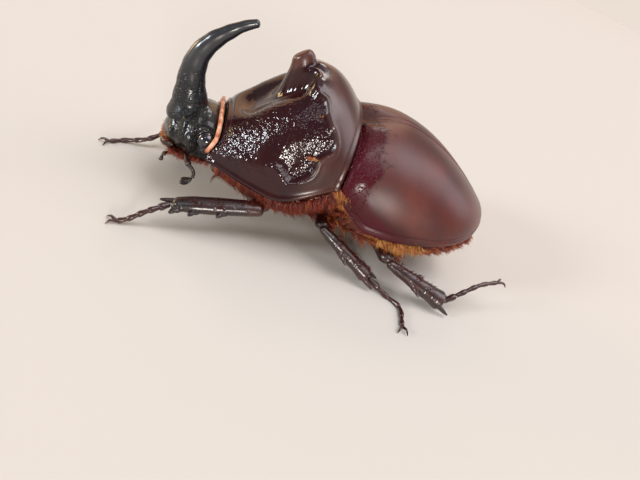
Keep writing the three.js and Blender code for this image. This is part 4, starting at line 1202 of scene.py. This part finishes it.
def crest_pit(side, a, b):
    """Skin in the small pits before the crest's side lobes and above the lateral hollow."""
    low = a > 0.5
    x = np.where(low, mix(-5.4, -4.4, b), mix(-5.2, -4.7, b))
    y, z = np.where(low, 8.45, 5.7), np.where(low, 12.2, 15.6)
    return stack(x, side * y, z), (-0.4, side * 0.7, 0.5), (-0.3, side * 0.6, -0.5)


coat("scutellum_tuft", 93, 60, scutellum_tuft, (0.4, 0.9), rise=0.4, tone=(0.4, 0.8))
for name, side in SIDES.items():
    pits = partial(crest_pit, side)
    coat(f"crest_hair_{name}", 101 + side, 26, pits, (0.3, 0.6), rise=0.6, tone=(0.5, 0.9), spacing=0.06)


def leg_rows(start, end, reach, tilt, a, b):
    """Skin along a limb, on the side that faces tilt."""
    start, end, tilt = np.array(start), np.array(end), np.array(tilt)
    run = unit(end - start)
    out = unit(tilt - run * (run @ tilt))
    turn = mix(-0.7, 0.7, b)[:, None]
    way = out * np.cos(turn) + np.cross(run, out) * np.sin(turn)
    return start + (end - start) * mix(0.12, 0.92, a)[:, None] + way * reach, way, run


for name, leg in LEGS.items():
    outwards = math.copysign(0.3, leg["knee"][1])
    thigh_skin = partial(leg_rows, leg["coxa"], leg["knee"], 0.85, (0.6, 0, 0.4))
    shin_skin = partial(leg_rows, leg["knee"], leg["tip"], 0.75, (0.6, outwards, 0.7))
    coat(f"thigh_hair_{name}", 111 + len(name), 150, thigh_skin, (0.8, 1.6), rise=0.6, tone=(0.2, 0.7))
    coat(
        f"shin_hair_{name}", 121 + len(name), 22, shin_skin, (0.4, 0.9), rise=0.7, tone=(0.0, 0.15),
        gather=0.0, spacing=0.25,
    )

# ---------------------------------------------------------------- studio
# A pale table top in a pale room, a soft low sun from the beetle's left, and soft boxes overhead, in front
# and behind. Two warm lamps light the far side.
FLOOR_HALF = 0.7
bm = bmesh.new()
bmesh.ops.create_grid(bm, x_segments=1, y_segments=1, size=FLOOR_HALF)
mesh = bpy.data.meshes.new("table_top")
bm.to_mesh(mesh)
bm.free()
paper, tree, shader = new_material("paper")  # matt and uncoated, so it shows no lamp
wire(tree, shader, {"Base Color": linear("#c6c1b9"), "Roughness": 0.9, "Specular IOR Level": 0.1})
mesh.materials.append(paper)
placed("table_top", mesh)

# The room's walls are as pale as the table where they meet it, and darker above.
world = bpy.data.worlds.new("room")
bpy.context.scene.world = world
world.use_nodes = True
room = world.node_tree
way_out = add_node(room, "ShaderNodeTexCoord").outputs["Generated"]
height = add_node(room, "ShaderNodeSeparateXYZ", {0: way_out}).outputs["Z"]
wall = add_node(
    room, "ShaderNodeValToRGB", {"Fac": height},
    stops=((0.04, "#ecdfd4"), (0.3, "#8a8784"), (0.9, "#7c7e82")),
)
wire(room, room.nodes["Background"], {"Color": wall.outputs["Color"]})

AIM = DATUM + Vector((0, 0, 9)) * MM
LAMP_DISTANCE = 2.4  # in metres, as the lamps' sizes


def lamp(name, kind, towards, strength, colour, **settings):
    """A light that faces the beetle from the given direction."""
    light = bpy.data.lights.new(name, kind)
    light.energy = strength
    light.color = linear(colour)[:3]
    for key, value in settings.items():
        setattr(light, key, value)
    made = placed(name, light)
    way = Vector(towards).normalized()
    made.location = AIM + way * LAMP_DISTANCE
    made.rotation_euler = way.to_track_quat("Z", "Y").to_euler()
    made.visible_camera = False


lamp("soft_sun", "SUN", (0.04, -0.97, 0.2), 1.8, "#fff8f0", angle=math.radians(11))
lamp("sky", "SUN", (0.25, -0.05, 0.97), 0.55, "#fbf7f6", angle=math.radians(75))
lamp("sky_box", "AREA", (0.28, -0.12, 0.9), 38, "#f4f0f4", shape="RECTANGLE", size=1.8, size_y=1.5)
lamp("top_box", "AREA", (0.11, 0.68, 0.72), 4, "#ffffff", size=0.4)
lamp("crest_box", "AREA", (-0.44, -0.42, 0.79), 3.5, "#f4faff", size=0.5)
lamp("front_box", "AREA", (-0.9, -0.3, 0.31), 32, "#f4faff", size=0.42)
lamp("tail_box", "AREA", (0.8, 0.05, 0.55), 20, "#f3ecf2", size=1.6)
lamp("warm_box", "AREA", (-0.87, 0.46, 0.14), 16, "#ffdc9c", size=0.7)
lamp("warm_card", "AREA", (-0.1, 0.85, 0.5), 18, "#d8a272", shape="RECTANGLE", size=2.6, size_y=1.4)

# The camera looks down on the left side, from ahead of the middle, rolled over to the beetle's tail.
AZIMUTH, ELEVATION, ROLL = math.radians(-20.3), math.radians(33.0), math.radians(26.5)
TARGET = Vector((2.8, 0, -3.0))
DISTANCE = 72.3
FOCAL_MM, SENSOR_MM = 31.09, 36.0
back = Matrix.Rotation(AZIMUTH, 3, "Z") @ Vector((0, -math.cos(ELEVATION), math.sin(ELEVATION)))
level = (-back).cross(Vector((0, 0, 1))).normalized()
upright = level.cross(-back)
rolled = level * math.cos(ROLL) + upright * math.sin(ROLL)
upwards = upright * math.cos(ROLL) - level * math.sin(ROLL)
lens = bpy.data.cameras.new("camera")
lens.sensor_width = SENSOR_MM
lens.lens = FOCAL_MM
lens.clip_start = 0.005
lens.clip_end = 20
camera = placed("camera", lens)
axes = Matrix((rolled, upwards, back)).transposed().to_4x4()
camera.matrix_world = Matrix.Translation(DATUM + (TARGET + back * DISTANCE) * MM) @ axes
bpy.context.scene.camera = camera
bpy.context.scene.view_settings.view_transform = "Standard"

bpy.context.view_layer.update()
